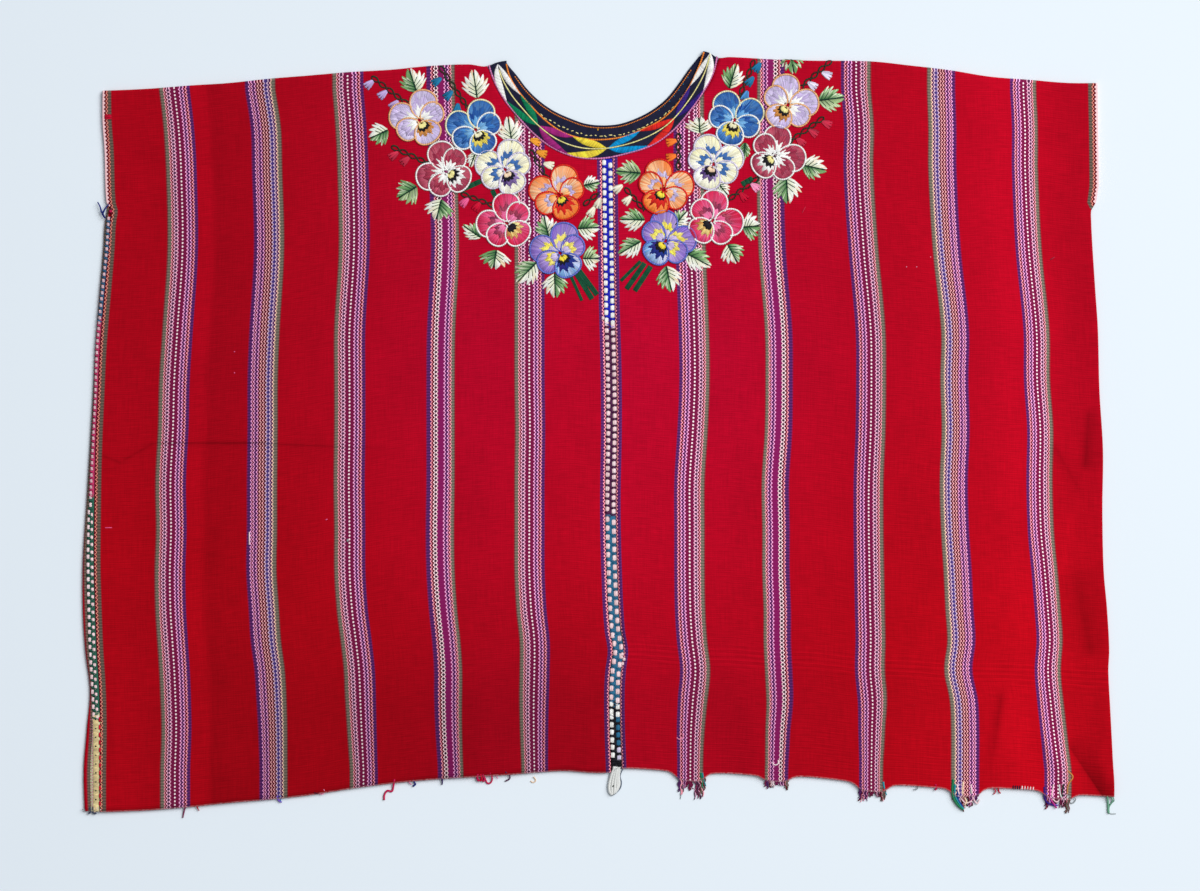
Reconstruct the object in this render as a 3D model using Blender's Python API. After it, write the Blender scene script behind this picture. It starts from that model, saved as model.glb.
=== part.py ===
"""Huipil blouse lying flat: two loom widths folded at the shoulders and joined edge to edge.

Everything is shaped in millimetres and written to the meshes in metres. X runs across the
garment, Y from the hem towards the neck and Z up from the surface that it lies on.
"""
import math

import bmesh
import bpy

# ---- driving sizes, mm ----
WALL = 1.2            # woven cloth
GAP = 0.3             # clearance between neighbouring pieces
BAND_RELIEF = 0.5     # how far the embroidered ribbon stands above the cloth
SEAM_WIDTH = 8.0      # needle-worked joining seam between the two widths
SEAM_RELIEF = 0.5     # crown of its two rows of stitches
NECK_CENTRE = (2.0, 592.0)
ARMHOLE_FOOT = 474.0  # height at which the side seams end
NOTCH = 6.0           # height over which a side edge turns from flat to rolled
FLAT_EDGE = 5.0       # width of the selvedge columns where the edge isn't rolled
BACK_SHORTER = 1.2    # the back hem lies this far inside the front hem
ROLL = 5.0            # cloth rolled under at the right side
UNDER_SEAM = 6.0      # width of the right side seam, which lies underneath
SHOULDER_PUFF = (0.7, 12.0)  # height and reach of the soft bulge behind the shoulder fold
COLUMNS = 14          # faces across a panel, without its edge
EDGE_COLUMNS = 5
FOLD_STEPS = 4        # faces round a half-turn fold

# height, outer edge, front selvedge, back cloth turned over the edge
LEFT_SIDE = (
    (-6.0, -405.6, -394.0, 3.4),
    (33.0, -406.6, -394.0, 3.4),
    (65.0, -404.2, -393.6, 3.0),
    (96.0, -401.8, -394.2, 1.2),
    (128.0, -405.4, -396.2, 1.6),
    (160.0, -407.3, -397.4, 2.2),
    (198.0, -407.2, -398.4, 1.4),
    (246.0, -404.2, -398.0, 0.5),
    (293.0, -401.4, -397.0, 0.2),
    (328.0, -399.4, -395.4, 0.0),
    (364.0, -397.6, -393.8, 0.0),
    (403.0, -394.6, -390.6, 0.0),
    (443.0, -391.2, -387.2, 0.0),
    (463.0, -390.0, -386.0, 0.0),
    (474.0, -388.4, -384.4, 0.0),
    (490.0, -389.3, -389.3, 0.0),
    (521.0, -390.1, -390.1, 0.0),
    (545.0, -391.7, -391.7, 0.0),
    (575.0, -391.3, -391.3, 0.0),
)
# height, outer edge
RIGHT_SIDE = (
    (-6.0, 405.6),
    (17.0, 405.0),
    (49.0, 403.6),
    (80.0, 402.0),
    (112.0, 400.4),
    (128.0, 401.1),
    (160.0, 399.4),
    (191.0, 396.7),
    (238.0, 395.7),
    (285.0, 396.2),
    (332.0, 393.4),
    (380.0, 392.2),
    (411.0, 390.1),
    (450.0, 387.6),
    (468.0, 386.8),
    (474.0, 387.0),
    (482.0, 391.4),
    (490.0, 392.5),
    (530.0, 392.3),
    (580.0, 391.5),
)
# distance across, height of the front hem, height of the shoulder fold
ENDS = (
    (-410.0, -0.5, 567.6),
    (-385.0, 0.2, 568.3),
    (-355.0, 1.4, 569.7),
    (-323.0, 4.0, 572.2),
    (-292.0, 7.2, 574.2),
    (-260.0, 9.8, 577.6),
    (-228.0, 13.4, 580.2),
    (-197.0, 18.2, 582.8),
    (-165.0, 22.4, 584.6),
    (-134.0, 25.4, 587.6),
    (-103.0, 27.4, 588.8),
    (-90.0, 28.2, 587.2),
    (-81.0, 28.8, 590.4),
    (-73.0, 29.2, 591.8),
    (-30.0, 31.8, 594.0),
    (10.0, 34.4, 597.0),
    (60.0, 32.4, 598.6),
    (80.0, 30.4, 599.4),
    (86.0, 30.1, 598.0),
    (93.0, 29.8, 594.0),
    (102.0, 29.5, 594.6),
    (134.0, 27.2, 592.9),
    (165.0, 25.4, 591.8),
    (213.0, 21.6, 591.2),
    (244.0, 20.2, 588.0),
    (276.0, 18.2, 584.2),
    (307.0, 18.2, 579.2),
    (339.0, 15.6, 576.6),
    (370.0, 14.0, 574.2),
    (410.0, 11.6, 574.4),
)
# height, distance across of the middle of the joining seam
CENTRE_LINE = (
    (0.0, 13.6),
    (33.0, 13.0),
    (64.0, 11.8),
    (96.0, 11.4),
    (112.0, 12.4),
    (127.0, 14.4),
    (143.0, 11.8),
    (175.0, 9.8),
    (238.0, 8.2),
    (301.0, 9.0),
    (350.0, 8.6),
    (400.0, 7.2),
    (514.0, 5.6),
    (600.0, 4.6),
)
# direction from the neck's centre, reach of: front ribbon's outer and inner edge, back ribbon's
# inner and outer edge
NECK = (
    (182.0, 90.2, 75.6, 75.2, 90.0),
    (190.0, 87.5, 74.0, 68.5, 85.0),
    (200.0, 84.2, 70.5, 63.8, 80.5),
    (212.0, 80.8, 66.8, 59.3, 76.0),
    (225.0, 79.7, 65.2, 55.5, 72.0),
    (240.0, 79.8, 64.6, 52.4, 68.5),
    (255.0, 79.4, 63.5, 51.6, 66.8),
    (270.0, 77.7, 62.3, 51.2, 66.3),
    (285.0, 76.3, 62.2, 51.8, 66.8),
    (300.0, 77.8, 62.6, 52.8, 69.0),
    (315.0, 78.7, 65.6, 55.3, 72.0),
    (330.0, 79.9, 68.1, 59.0, 76.5),
    (342.0, 83.2, 70.8, 62.4, 80.5),
    (354.0, 88.2, 74.8, 68.3, 86.0),
    (364.0, 91.1, 79.5, 77.7, 91.0),
)
FRONT_OUTER, FRONT_INNER, BACK_INNER, BACK_OUTER = 1, 2, 3, 4
# middle of each soft fold, direction, half length, half width, height
FOLDS = (
    (372.0, 34.0, 124.0, 42.0, 11.0, 2.8),
    (316.0, 60.0, 84.0, 50.0, 12.0, 1.4),
    (225.0, 116.0, 2.0, 190.0, 15.0, 0.9),
    (-240.0, 300.0, 4.0, 70.0, 13.0, 0.9),
    (-300.0, 45.0, 97.0, 60.0, 15.0, 1.5),
    (-95.0, 70.0, 82.0, 70.0, 15.0, 1.7),
    (120.0, 62.0, 95.0, 58.0, 14.0, 1.6),
    (230.0, 330.0, 78.0, 120.0, 17.0, 0.9),
    (-170.0, 430.0, 62.0, 95.0, 16.0, 0.9),
    (300.0, 520.0, 58.0, 70.0, 16.0, 1.1),
    (-330.0, 500.0, 125.0, 70.0, 15.0, 1.1),
    (-30.0, 250.0, 100.0, 110.0, 15.0, 0.8),
)
# heights of a panel's rows below the neck, measured at its side
ROW_HEIGHTS = (
    0.0, 33.0, 65.0, 96.0, 112.0, 128.0, 160.0, 198.0, 246.0, 293.0, 328.0, 364.0, 403.0,
    443.0, 463.0, 470.0, ARMHOLE_FOOT, ARMHOLE_FOOT + NOTCH,
)
SEAM_ROWS = 16        # a side seam ends with this many of those rows
NECK_ROWS = 10
BACK_NECK_ROWS = 7
NECK_CLEARANCE = 0.15
RIBBON_COLUMNS = 3
SIDE_REACH = 390.0    # distance across at which row heights are measured
# middle of each frayed stripe end, its width, how far its threads reach, their number
FRAYS = (
    ("1", 72.0, 19.0, 23.0, 11),
    ("2", 142.0, 15.0, 7.0, 9),
    ("3", 214.0, 20.0, 10.0, 11),
    ("4", 287.0, 17.0, 17.0, 10),
    ("5", 358.0, 15.0, 9.0, 9),
)
HEM_CLEARANCE = 0.5   # between the hem and the strip in which loose threads are rooted
FRAY_STRIP_DEPTH = 2.4
FRAY_STRIP_BOTTOM = 0.5
FRAY_STRIP_THICK = 1.5
THREAD = 0.95         # thickness of one lock of threads
THREAD_STEPS = 4
THREAD_TAPER = 0.35
THREAD_SWAY = 0.22    # sideways sway, as a share of the room between two locks
FLOOR_CLEARANCE = 0.15

METRES = 0.001


def smooth(rows, x, column=1):
    """A smooth curve through a table's column, as a function of its first column."""
    if x <= rows[0][0]:
        return rows[0][column]
    if x >= rows[-1][0]:
        return rows[-1][column]
    i = max(k for k in range(len(rows) - 1) if rows[k][0] <= x)

    def slope(k):
        a, b = max(k - 1, 0), min(k + 1, len(rows) - 1)
        return (rows[b][column] - rows[a][column]) / (rows[b][0] - rows[a][0])

    span = rows[i + 1][0] - rows[i][0]
    t = (x - rows[i][0]) / span
    return (
        (2 * t ** 3 - 3 * t ** 2 + 1) * rows[i][column]
        + (t ** 3 - 2 * t ** 2 + t) * span * slope(i)
        + (3 * t ** 2 - 2 * t ** 3) * rows[i + 1][column]
        + (t ** 3 - t ** 2) * span * slope(i + 1)
    )


def hem(x):
    return smooth(ENDS, x, 1)


def shoulder(x):
    return smooth(ENDS, x, 2)


def centre_line(y):
    return smooth(CENTRE_LINE, y)


def neck_point(angle, edge, clearance=0.0):
    """A point on one of the ribbon's edges, moved away from the neck's centre by a clearance."""
    reach = smooth(NECK, angle, edge) + clearance
    turn = math.radians(angle)
    return NECK_CENTRE[0] + reach * math.cos(turn), NECK_CENTRE[1] + reach * math.sin(turn)


def lift(x, y):
    """How far the front layer rises off the back one in its soft folds."""
    height, reach = SHOULDER_PUFF
    total = height * math.exp(-((shoulder(x) - y) / reach) ** 2)
    for middle_x, middle_y, direction, half_length, half_width, rise in FOLDS:
        turn = math.radians(direction)
        along = (x - middle_x) * math.cos(turn) + (y - middle_y) * math.sin(turn)
        across = (y - middle_y) * math.cos(turn) - (x - middle_x) * math.sin(turn)
        if abs(along) < half_length:
            taper = math.cos(0.5 * math.pi * along / half_length) ** 2
            total += rise * taper * math.exp(-(across / half_width) ** 2)
    return total


def front_level(x, y):
    """Height of the middle of the front layer."""
    return 1.5 * WALL + GAP + lift(x, y)


BACK_LEVEL = 0.5 * WALL


def skin_pair(x, y, z, normal, outer=0.5 * WALL, inner=0.5 * WALL):
    """The points on both faces of the cloth, from a point in its middle."""
    return (
        (x + normal[0] * outer, y + normal[1] * outer, z + normal[2] * outer),
        (x - normal[0] * inner, y - normal[1] * inner, z - normal[2] * inner),
    )


def closed_sheet(name, rows, colour, roughness=0.9):
    """One closed solid from rows of (outer point, inner point) pairs."""
    mesh = bpy.data.meshes.new(name)
    bm = bmesh.new()
    skins = [[[bm.verts.new([c * METRES for c in pair[k]]) for pair in row] for row in rows]
             for k in (0, 1)]
    last_row, last_column = len(rows) - 1, len(rows[0]) - 1
    for skin in skins:
        for i in range(last_row):
            for j in range(last_column):
                bm.faces.new((skin[i][j], skin[i][j + 1], skin[i + 1][j + 1], skin[i + 1][j]))
    outer, inner = skins
    for i in range(last_row):
        for j in (0, last_column):
            bm.faces.new((outer[i][j], outer[i + 1][j], inner[i + 1][j], inner[i][j]))
    for j in range(last_column):
        for i in (0, last_row):
            bm.faces.new((outer[i][j], outer[i][j + 1], inner[i][j + 1], inner[i][j]))
    return finished(name, mesh, bm, colour, roughness)


def finished(name, mesh, bm, colour, roughness):
    """Turn the faces outward, shade the round ones smooth and add the object's material."""
    bmesh.ops.recalc_face_normals(bm, faces=bm.faces)
    bm.to_mesh(mesh)
    bm.free()
    mesh.shade_smooth()
    mesh.set_sharp_from_angle(angle=math.radians(50))
    piece = bpy.data.objects.new(name, mesh)
    bpy.context.scene.collection.objects.link(piece)
    material = bpy.data.materials.new(name + "_material")
    material.use_nodes = True
    shader = material.node_tree.nodes["Principled BSDF"]
    shader.inputs["Base Color"].default_value = (*colour, 1.0)
    shader.inputs["Roughness"].default_value = roughness
    shader.inputs["Metallic"].default_value = 0.0
    mesh.materials.append(material)
    return piece


# ---- the two panels ----
def outer_edge(side, y):
    return smooth(LEFT_SIDE if side < 0 else RIGHT_SIDE, y)


def side_end(side, front, y):
    """(where a layer's flat part ends, degrees of its roll, length beyond the roll)."""
    edge = outer_edge(side, y)
    rolls = front == (side > 0)
    if y >= ARMHOLE_FOOT + NOTCH - 0.01:
        inset = 0.0 if front else 0.5
        return edge - side * inset, 0.0, 0.0
    if not rolls:
        if side < 0:
            return smooth(LEFT_SIDE, y, 2), 0.0, 0.0
        return edge - roll_depth(edge, y) - ROLL - UNDER_SEAM - 2 * GAP, 0.0, 0.0
    if y >= ARMHOLE_FOOT - 0.01:
        return edge, 90.0, 0.4
    return edge, 180.0, ROLL if side > 0 else smooth(LEFT_SIDE, y, 3)


def roll_depth(x, y):
    """How far a half-turn roll reaches past the end of the flat cloth."""
    return 0.5 * (front_level(x, y) - BACK_LEVEL) + 0.5 * WALL


def cross_section(side, front, fraction, x_inner):
    """One row of a panel, from its inner end to its side edge: pairs of skin points."""
    def height_at(x):
        foot = hem(x) + (0.0 if front else BACK_SHORTER)
        return foot + fraction * (fold_start(x) - foot)

    y_side = height_at(side * SIDE_REACH)
    edge, turn, tail = side_end(side, front, y_side)
    up = 1 if front else -1

    def level(x, y):
        return front_level(x, y) if front else BACK_LEVEL

    x_flat = edge - side * (roll_depth(edge, y_side) if turn else FLAT_EDGE)
    pairs = []
    for k in range(COLUMNS + 1):
        x = x_inner + (x_flat - x_inner) * k / COLUMNS
        y = height_at(x)
        pairs.append(skin_pair(x, y, level(x, y), (0.0, 0.0, up)))
    y = height_at(x_flat)
    if not turn:
        for k in range(1, EDGE_COLUMNS + 1):
            x = x_flat + side * FLAT_EDGE * k / EDGE_COLUMNS
            pairs.append(skin_pair(x, y, level(x, y), (0.0, 0.0, up)))
        return pairs
    near, far = level(x_flat, y), (BACK_LEVEL if front else front_level(x_flat, y))
    middle, radius = 0.5 * (near + far), 0.5 * abs(near - far)
    for k in range(1, EDGE_COLUMNS):
        phi = math.radians(turn) * k / (EDGE_COLUMNS - 1)
        normal = (side * math.sin(phi), 0.0, up * math.cos(phi))
        pairs.append(skin_pair(x_flat + side * radius * math.sin(phi), y,
                               middle + up * radius * math.cos(phi), normal))
    if turn > 90.0:
        tail = max(tail, 0.3)
        pairs.append(skin_pair(x_flat - side * tail, y, far, (0.0, 0.0, -up)))
    else:
        pairs.append(skin_pair(x_flat + side * radius, y, middle - up * tail, (side, 0.0, 0.0)))
    return pairs


def fold_start(x):
    """Height at which the flat cloth meets the round of the shoulder fold."""
    y = shoulder(x)
    return y - 0.5 * (front_level(x, y) - BACK_LEVEL) - 0.5 * WALL


def shoulder_rows(flat_row):
    """The rows round the shoulder fold, from the last flat row of the front layer."""
    rows = []
    for k in range(1, FOLD_STEPS):
        psi = math.pi * k / FOLD_STEPS
        normal = (0.0, math.sin(psi), math.cos(psi))
        row = []
        for outer, inner in flat_row:
            x, y, z = [0.5 * (a + b) for a, b in zip(outer, inner)]
            radius = 0.5 * (z - BACK_LEVEL)
            row.append(skin_pair(x, y + radius * math.sin(psi),
                                 BACK_LEVEL + radius * (1 + math.cos(psi)), normal))
        rows.append(row)
    return rows


def fraction_of(x, y, front):
    foot = hem(x) + (0.0 if front else BACK_SHORTER)
    return (y - foot) / (fold_start(x) - foot)


def neck_corner(side, edge):
    """Direction in which the joining seam's side meets an edge of the neck ribbon."""
    x = centre_line(NECK_CENTRE[1] - smooth(NECK, 270.0, edge)) + side * (0.5 * SEAM_WIDTH + GAP)
    return 270.0 + math.degrees(math.asin((x - NECK_CENTRE[0]) / smooth(NECK, 270.0, edge)))


def neck_angles(side, front):
    """Directions of a panel's rows round the neck, from the joining seam to the shoulder."""
    corner = neck_corner(side, FRONT_OUTER if front else BACK_OUTER)
    tip = NECK[0][0] if side < 0 else NECK[-1][0]
    return span(corner, tip, NECK_ROWS if front else BACK_NECK_ROWS)


def layer_rows(side, front):
    """The flat rows of one layer of a panel, from hem to shoulder."""
    rows = []
    for height in ROW_HEIGHTS:
        fraction = max(fraction_of(side * SIDE_REACH, height, front), 0.0)
        foot = hem(0.0)
        y_inner = foot + fraction * (fold_start(side * NECK[0][1]) - foot)
        x_inner = centre_line(y_inner) + side * (0.5 * SEAM_WIDTH + GAP)
        rows.append(cross_section(side, front, fraction, x_inner))
    angles = neck_angles(side, front)
    for angle in angles[:-1]:
        x_inner, y_inner = neck_point(angle, FRONT_OUTER if front else BACK_OUTER, GAP)
        rows.append(cross_section(side, front, fraction_of(x_inner, y_inner, front), x_inner))
    x_inner, _ = neck_point(angles[-1], FRONT_OUTER, GAP)
    rows.append(cross_section(side, front, 1.0, x_inner))
    return rows


def panel(name, layers, colour):
    """One loom width, from the front hem over the shoulder to the back hem."""
    front, back = layers
    return closed_sheet(name, front + shoulder_rows(front[-1]) + back[::-1], colour)


# ---- the seams ----
def middle(pair):
    return [0.5 * (a + b) for a, b in zip(*pair)]


def seam(name, left_ends, right_ends, front, crown, colour):
    """A needle-worked strip between two edges, flat below and crowned over its stitches."""
    rows = []
    for start, end in zip(left_ends, right_ends):
        row = []
        for k, rise in enumerate(crown):
            t = k / (len(crown) - 1)
            x = (start[0] + GAP) * (1 - t) + (end[0] - GAP) * t
            y = start[1] * (1 - t) + end[1] * t
            z = front_level(x, y) if front else BACK_LEVEL
            row.append(skin_pair(x, y, z, (0.0, 0.0, 1.0), outer=0.5 * WALL + rise))
        rows.append(row)
    return closed_sheet(name, rows, colour)


def span(start, end, count):
    return [start + (end - start) * k / count for k in range(count + 1)]


def inner_ends(rows):
    """The ends at the joining seam, the last a little short of the neck ribbon."""
    points = [middle(row[0]) for row in rows[:len(ROW_HEIGHTS) + 1]]
    points[-1][1] -= NECK_CLEARANCE
    return points


def outer_ends(rows):
    """The ends at a side seam, from the hem to just under the armhole."""
    return [middle(row[-1]) for row in rows[:SEAM_ROWS]]


def seams(left, right):
    twin_crown = (0.0, SEAM_RELIEF, 0.3 * SEAM_RELIEF, SEAM_RELIEF, 0.0)
    single_crown = (0.0, SEAM_RELIEF, 0.0)
    cream, green, red = (0.55, 0.35, 0.45), (0.30, 0.30, 0.26), (0.45, 0.04, 0.06)
    for layer, name, front, crown in ((0, "front_centre_seam", True, twin_crown),
                                      (1, "back_centre_seam", False, (0.0, 0.0))):
        seam(name, inner_ends(left[layer]), inner_ends(right[layer]), front, crown, cream)
    seam("left_side_seam", outer_ends(left[1]), outer_ends(left[0]), True, single_crown, green)
    seam("right_side_seam", outer_ends(right[1]), outer_ends(right[0]), False, (0.0, 0.0), red)


# ---- the neck ribbon ----
def ribbon_row(angle, front, tip=False):
    """A row across the ribbon from its outer to its inner edge."""
    outer_column, inner_column = (FRONT_OUTER, FRONT_INNER) if front else (BACK_OUTER, BACK_INNER)
    start, end = neck_point(angle, outer_column), neck_point(angle, inner_column)
    row = []
    for k in range(RIBBON_COLUMNS + 1):
        x = start[0] + (end[0] - start[0]) * k / RIBBON_COLUMNS
        y = start[1] + (end[1] - start[1]) * k / RIBBON_COLUMNS
        y = fold_start(x) if tip else min(y, fold_start(x))
        if front:
            relief = BAND_RELIEF * (1.0 if 0 < k < RIBBON_COLUMNS else 0.7) * (0.5 if tip else 1.0)
            row.append(skin_pair(x, y, front_level(x, y), (0.0, 0.0, 1.0), 0.5 * WALL + relief))
        else:
            row.append(skin_pair(x, y, BACK_LEVEL, (0.0, 0.0, -1.0)))
    return row


def ribbon_fold(row):
    """The ribbon's bend over the shoulder and the row under it, where the back starts."""
    plain = [((x, y, inner[2] + WALL), inner) for (x, y, _), inner in row]
    under = [skin_pair(outer[0], outer[1], BACK_LEVEL, (0.0, 0.0, -1.0)) for outer, _ in row]
    return shoulder_rows(plain) + [under]


def neck_ribbon(colour):
    """The ribbon round the neck: over the front, round both shoulders and under the back."""
    def ring_angles(front):
        return neck_angles(-1, front)[:0:-1][1:] + [neck_angles(-1, front)[0]] \
            + neck_angles(1, front)[:-1]

    front = [ribbon_row(NECK[0][0], True, True)] + [ribbon_row(a, True) for a in ring_angles(True)]
    front.append(ribbon_row(NECK[-1][0], True, True))
    back = [ribbon_row(a, False) for a in ring_angles(False)[::-1]]
    rows = front + ribbon_fold(front[-1]) + back + ribbon_fold(front[0])[::-1]
    return closed_ring("neck_ribbon", rows, colour)


def closed_ring(name, rows, colour, roughness=0.7):
    """One closed solid from rows of skin pairs whose last row meets the first one."""
    mesh = bpy.data.meshes.new(name)
    bm = bmesh.new()
    rings = []
    for row in rows:
        loop = [pair[0] for pair in row] + [pair[1] for pair in row[::-1]]
        rings.append([bm.verts.new([c * METRES for c in point]) for point in loop])
    size = len(rings[0])
    for i, ring in enumerate(rings):
        following = rings[(i + 1) % len(rings)]
        for j in range(size):
            k = (j + 1) % size
            bm.faces.new((ring[j], ring[k], following[k], following[j]))
    return finished(name, mesh, bm, colour, roughness)


# ---- the frayed stripe ends ----
def fray(name, centre, width, reach, count, colour):
    """Loose threads rooted in one narrow strip along the hem."""
    mesh = bpy.data.meshes.new(name)
    bm = bmesh.new()
    low, high = FRAY_STRIP_BOTTOM, FRAY_STRIP_BOTTOM + FRAY_STRIP_THICK
    columns = []
    for k in range(count + 1):
        x = centre + width * (k / count - 0.5)
        near = hem(x) - HEM_CLEARANCE
        far = near - FRAY_STRIP_DEPTH
        corners = ((x, near, high), (x, near, low), (x, far, low), (x, far, high))
        columns.append([bm.verts.new([c * METRES for c in corner]) for corner in corners])
    roots = []
    for a, b in zip(columns, columns[1:]):
        sides = [bm.faces.new((a[j], a[(j + 1) % 4], b[(j + 1) % 4], b[j])) for j in range(4)]
        roots.append(sides[2])
    bm.faces.new(columns[0])
    bm.faces.new(columns[-1][::-1])
    for number, root in enumerate(roots):
        grow_thread(bm, root, number, reach, width / count)
    return finished(name, mesh, bm, colour, 0.9)


def grow_thread(bm, face, number, reach, lane):
    """Draw one lock of threads out of its root face, tapering, swaying and sinking to the floor."""
    start = face.calc_center_median()
    length = METRES * reach * (0.55 + 0.45 * math.sin(2.1 * number + 0.7) ** 2)
    resting = METRES * (0.5 * THREAD + FLOOR_CLEARANCE)
    for step in range(1, THREAD_STEPS + 1):
        t = step / THREAD_STEPS
        face = bmesh.ops.extrude_discrete_faces(bm, faces=[face])["faces"][0]
        half = METRES * 0.5 * THREAD * (1.0 - THREAD_TAPER * t)
        x = start.x + METRES * THREAD_SWAY * lane * math.sin(3.3 * t + 1.7 * number)
        z = start.z + (resting - start.z) * min(1.0, 1.6 * t)
        centre = face.calc_center_median()
        for vert in face.verts:
            vert.co.x = x + math.copysign(half, vert.co.x - centre.x)
            vert.co.z = z + math.copysign(half, vert.co.z - centre.z)
            vert.co.y = start.y - length * t


def stand_on_origin():
    """Bring the middle of the garment's footprint to the origin and its underside to zero."""
    pieces = list(bpy.context.scene.objects)
    points = [v.co for piece in pieces for v in piece.data.vertices]
    middle = [0.5 * (min(p[k] for p in points) + max(p[k] for p in points)) for k in (0, 1)]
    for piece in pieces:
        for vert in piece.data.vertices:
            vert.co.x -= middle[0]
            vert.co.y -= middle[1]


def build():
    for piece in list(bpy.data.objects):
        bpy.data.objects.remove(piece, do_unlink=True)
    red, navy, lilac = (0.42, 0.004, 0.02), (0.03, 0.03, 0.06), (0.42, 0.22, 0.33)
    left = [layer_rows(-1, front) for front in (True, False)]
    right = [layer_rows(1, front) for front in (True, False)]
    panel("left_panel", left, red)
    panel("right_panel", right, red)
    seams(left, right)
    neck_ribbon(navy)
    for label, centre, width, reach, count in FRAYS:
        fray("hem_fray_" + label, centre, width, reach, count, lilac)
    stand_on_origin()


build()
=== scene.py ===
import math

import bmesh
import bpy
import numpy as np
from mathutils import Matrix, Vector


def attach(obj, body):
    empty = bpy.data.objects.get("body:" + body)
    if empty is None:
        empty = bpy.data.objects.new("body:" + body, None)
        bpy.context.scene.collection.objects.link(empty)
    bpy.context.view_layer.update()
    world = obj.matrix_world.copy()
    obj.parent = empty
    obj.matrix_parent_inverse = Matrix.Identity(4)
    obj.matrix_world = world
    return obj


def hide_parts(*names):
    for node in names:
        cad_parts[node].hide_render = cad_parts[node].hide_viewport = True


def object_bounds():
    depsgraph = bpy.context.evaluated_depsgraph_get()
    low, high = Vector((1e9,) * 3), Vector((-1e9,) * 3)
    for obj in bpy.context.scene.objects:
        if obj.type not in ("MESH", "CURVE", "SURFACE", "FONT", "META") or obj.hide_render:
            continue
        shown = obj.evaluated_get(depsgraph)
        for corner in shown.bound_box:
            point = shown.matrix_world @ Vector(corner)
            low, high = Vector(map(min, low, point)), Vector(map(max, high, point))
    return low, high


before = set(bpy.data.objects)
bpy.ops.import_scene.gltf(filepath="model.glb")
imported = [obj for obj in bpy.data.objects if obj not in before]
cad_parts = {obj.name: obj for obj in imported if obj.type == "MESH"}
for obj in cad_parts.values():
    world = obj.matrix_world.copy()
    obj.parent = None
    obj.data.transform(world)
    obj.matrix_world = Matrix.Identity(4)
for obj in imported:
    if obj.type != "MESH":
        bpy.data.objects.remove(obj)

bl_info = {
    "name": "Huipil Blouse",
    "version": (1, 0, 0),
    "blender": (4, 5, 0),
    "location": "View3D > Sidebar > Huipil",
    "description": "Dresses a flat-laid blouse of two striped loom widths with its embroidery and seams",
    "category": "Add Mesh",
}

CAD_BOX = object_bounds()

# ---- sizes in millimetres: X across, Y from the hem to the neck, Z up from the surface ----
METRES = 0.001
ORIGIN = (-1.08, 298.89)     # middle of the garment's footprint
WALL = 1.2                   # woven cloth
GAP = 0.3                    # clearance between neighbouring pieces
BACK_LEVEL = 0.5 * WALL      # middle of the back layer, which lies on the surface
SEAM_WIDTH = 8.0
NECK_CENTRE = (2.0, 592.0)
ARMHOLE_FOOT = 474.0
ROLL_END = 470.0             # a side edge is fully rolled up to here
NOTCH = 6.0                  # height over which a side edge turns from rolled to flat
FLAT_EDGE = 5.0              # width of the columns along an edge that isn't rolled
BACK_SHORTER = 1.2           # the back hem lies this far inside the front hem
BACK_NARROWER = 0.5          # and the back's open edge this far inside the front's
ROLL = 5.0                   # cloth rolled under at the right side
UNDER_SEAM = 6.0             # width of the strip under the right side
LEAST_TURNED = 0.3
SHOULDER_PUFF = (0.7, 12.0)  # how much higher the shoulder fold lies, and how far that reaches
SIDE_REACH = 390.0           # distance across at which a row's height is measured

# height, outer edge, front selvedge, back cloth turned over the edge
LEFT_SIDE = (
    (-6.0, -405.6, -394.0, 3.4),
    (33.0, -406.6, -394.0, 3.4),
    (65.0, -404.2, -393.6, 3.0),
    (96.0, -401.8, -394.2, 1.2),
    (128.0, -405.4, -396.2, 1.6),
    (160.0, -407.3, -397.4, 2.2),
    (198.0, -407.2, -398.4, 1.4),
    (246.0, -404.2, -398.0, 0.5),
    (293.0, -401.4, -397.0, 0.2),
    (328.0, -399.4, -395.4, 0.0),
    (364.0, -397.6, -393.8, 0.0),
    (403.0, -394.6, -390.6, 0.0),
    (443.0, -391.2, -387.2, 0.0),
    (463.0, -390.0, -386.0, 0.0),
    (474.0, -388.4, -384.4, 0.0),
    (490.0, -389.3, -389.3, 0.0),
    (521.0, -390.1, -390.1, 0.0),
    (545.0, -391.7, -391.7, 0.0),
    (575.0, -391.3, -391.3, 0.0),
)
# height, outer edge
RIGHT_SIDE = (
    (-6.0, 405.6),
    (17.0, 405.0),
    (49.0, 403.6),
    (80.0, 402.0),
    (112.0, 400.4),
    (128.0, 401.1),
    (160.0, 399.4),
    (191.0, 396.7),
    (238.0, 395.7),
    (285.0, 396.2),
    (332.0, 393.4),
    (380.0, 392.2),
    (411.0, 390.1),
    (450.0, 387.6),
    (468.0, 386.8),
    (474.0, 387.0),
    (482.0, 391.4),
    (490.0, 392.5),
    (530.0, 392.3),
    (580.0, 391.5),
)
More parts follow.
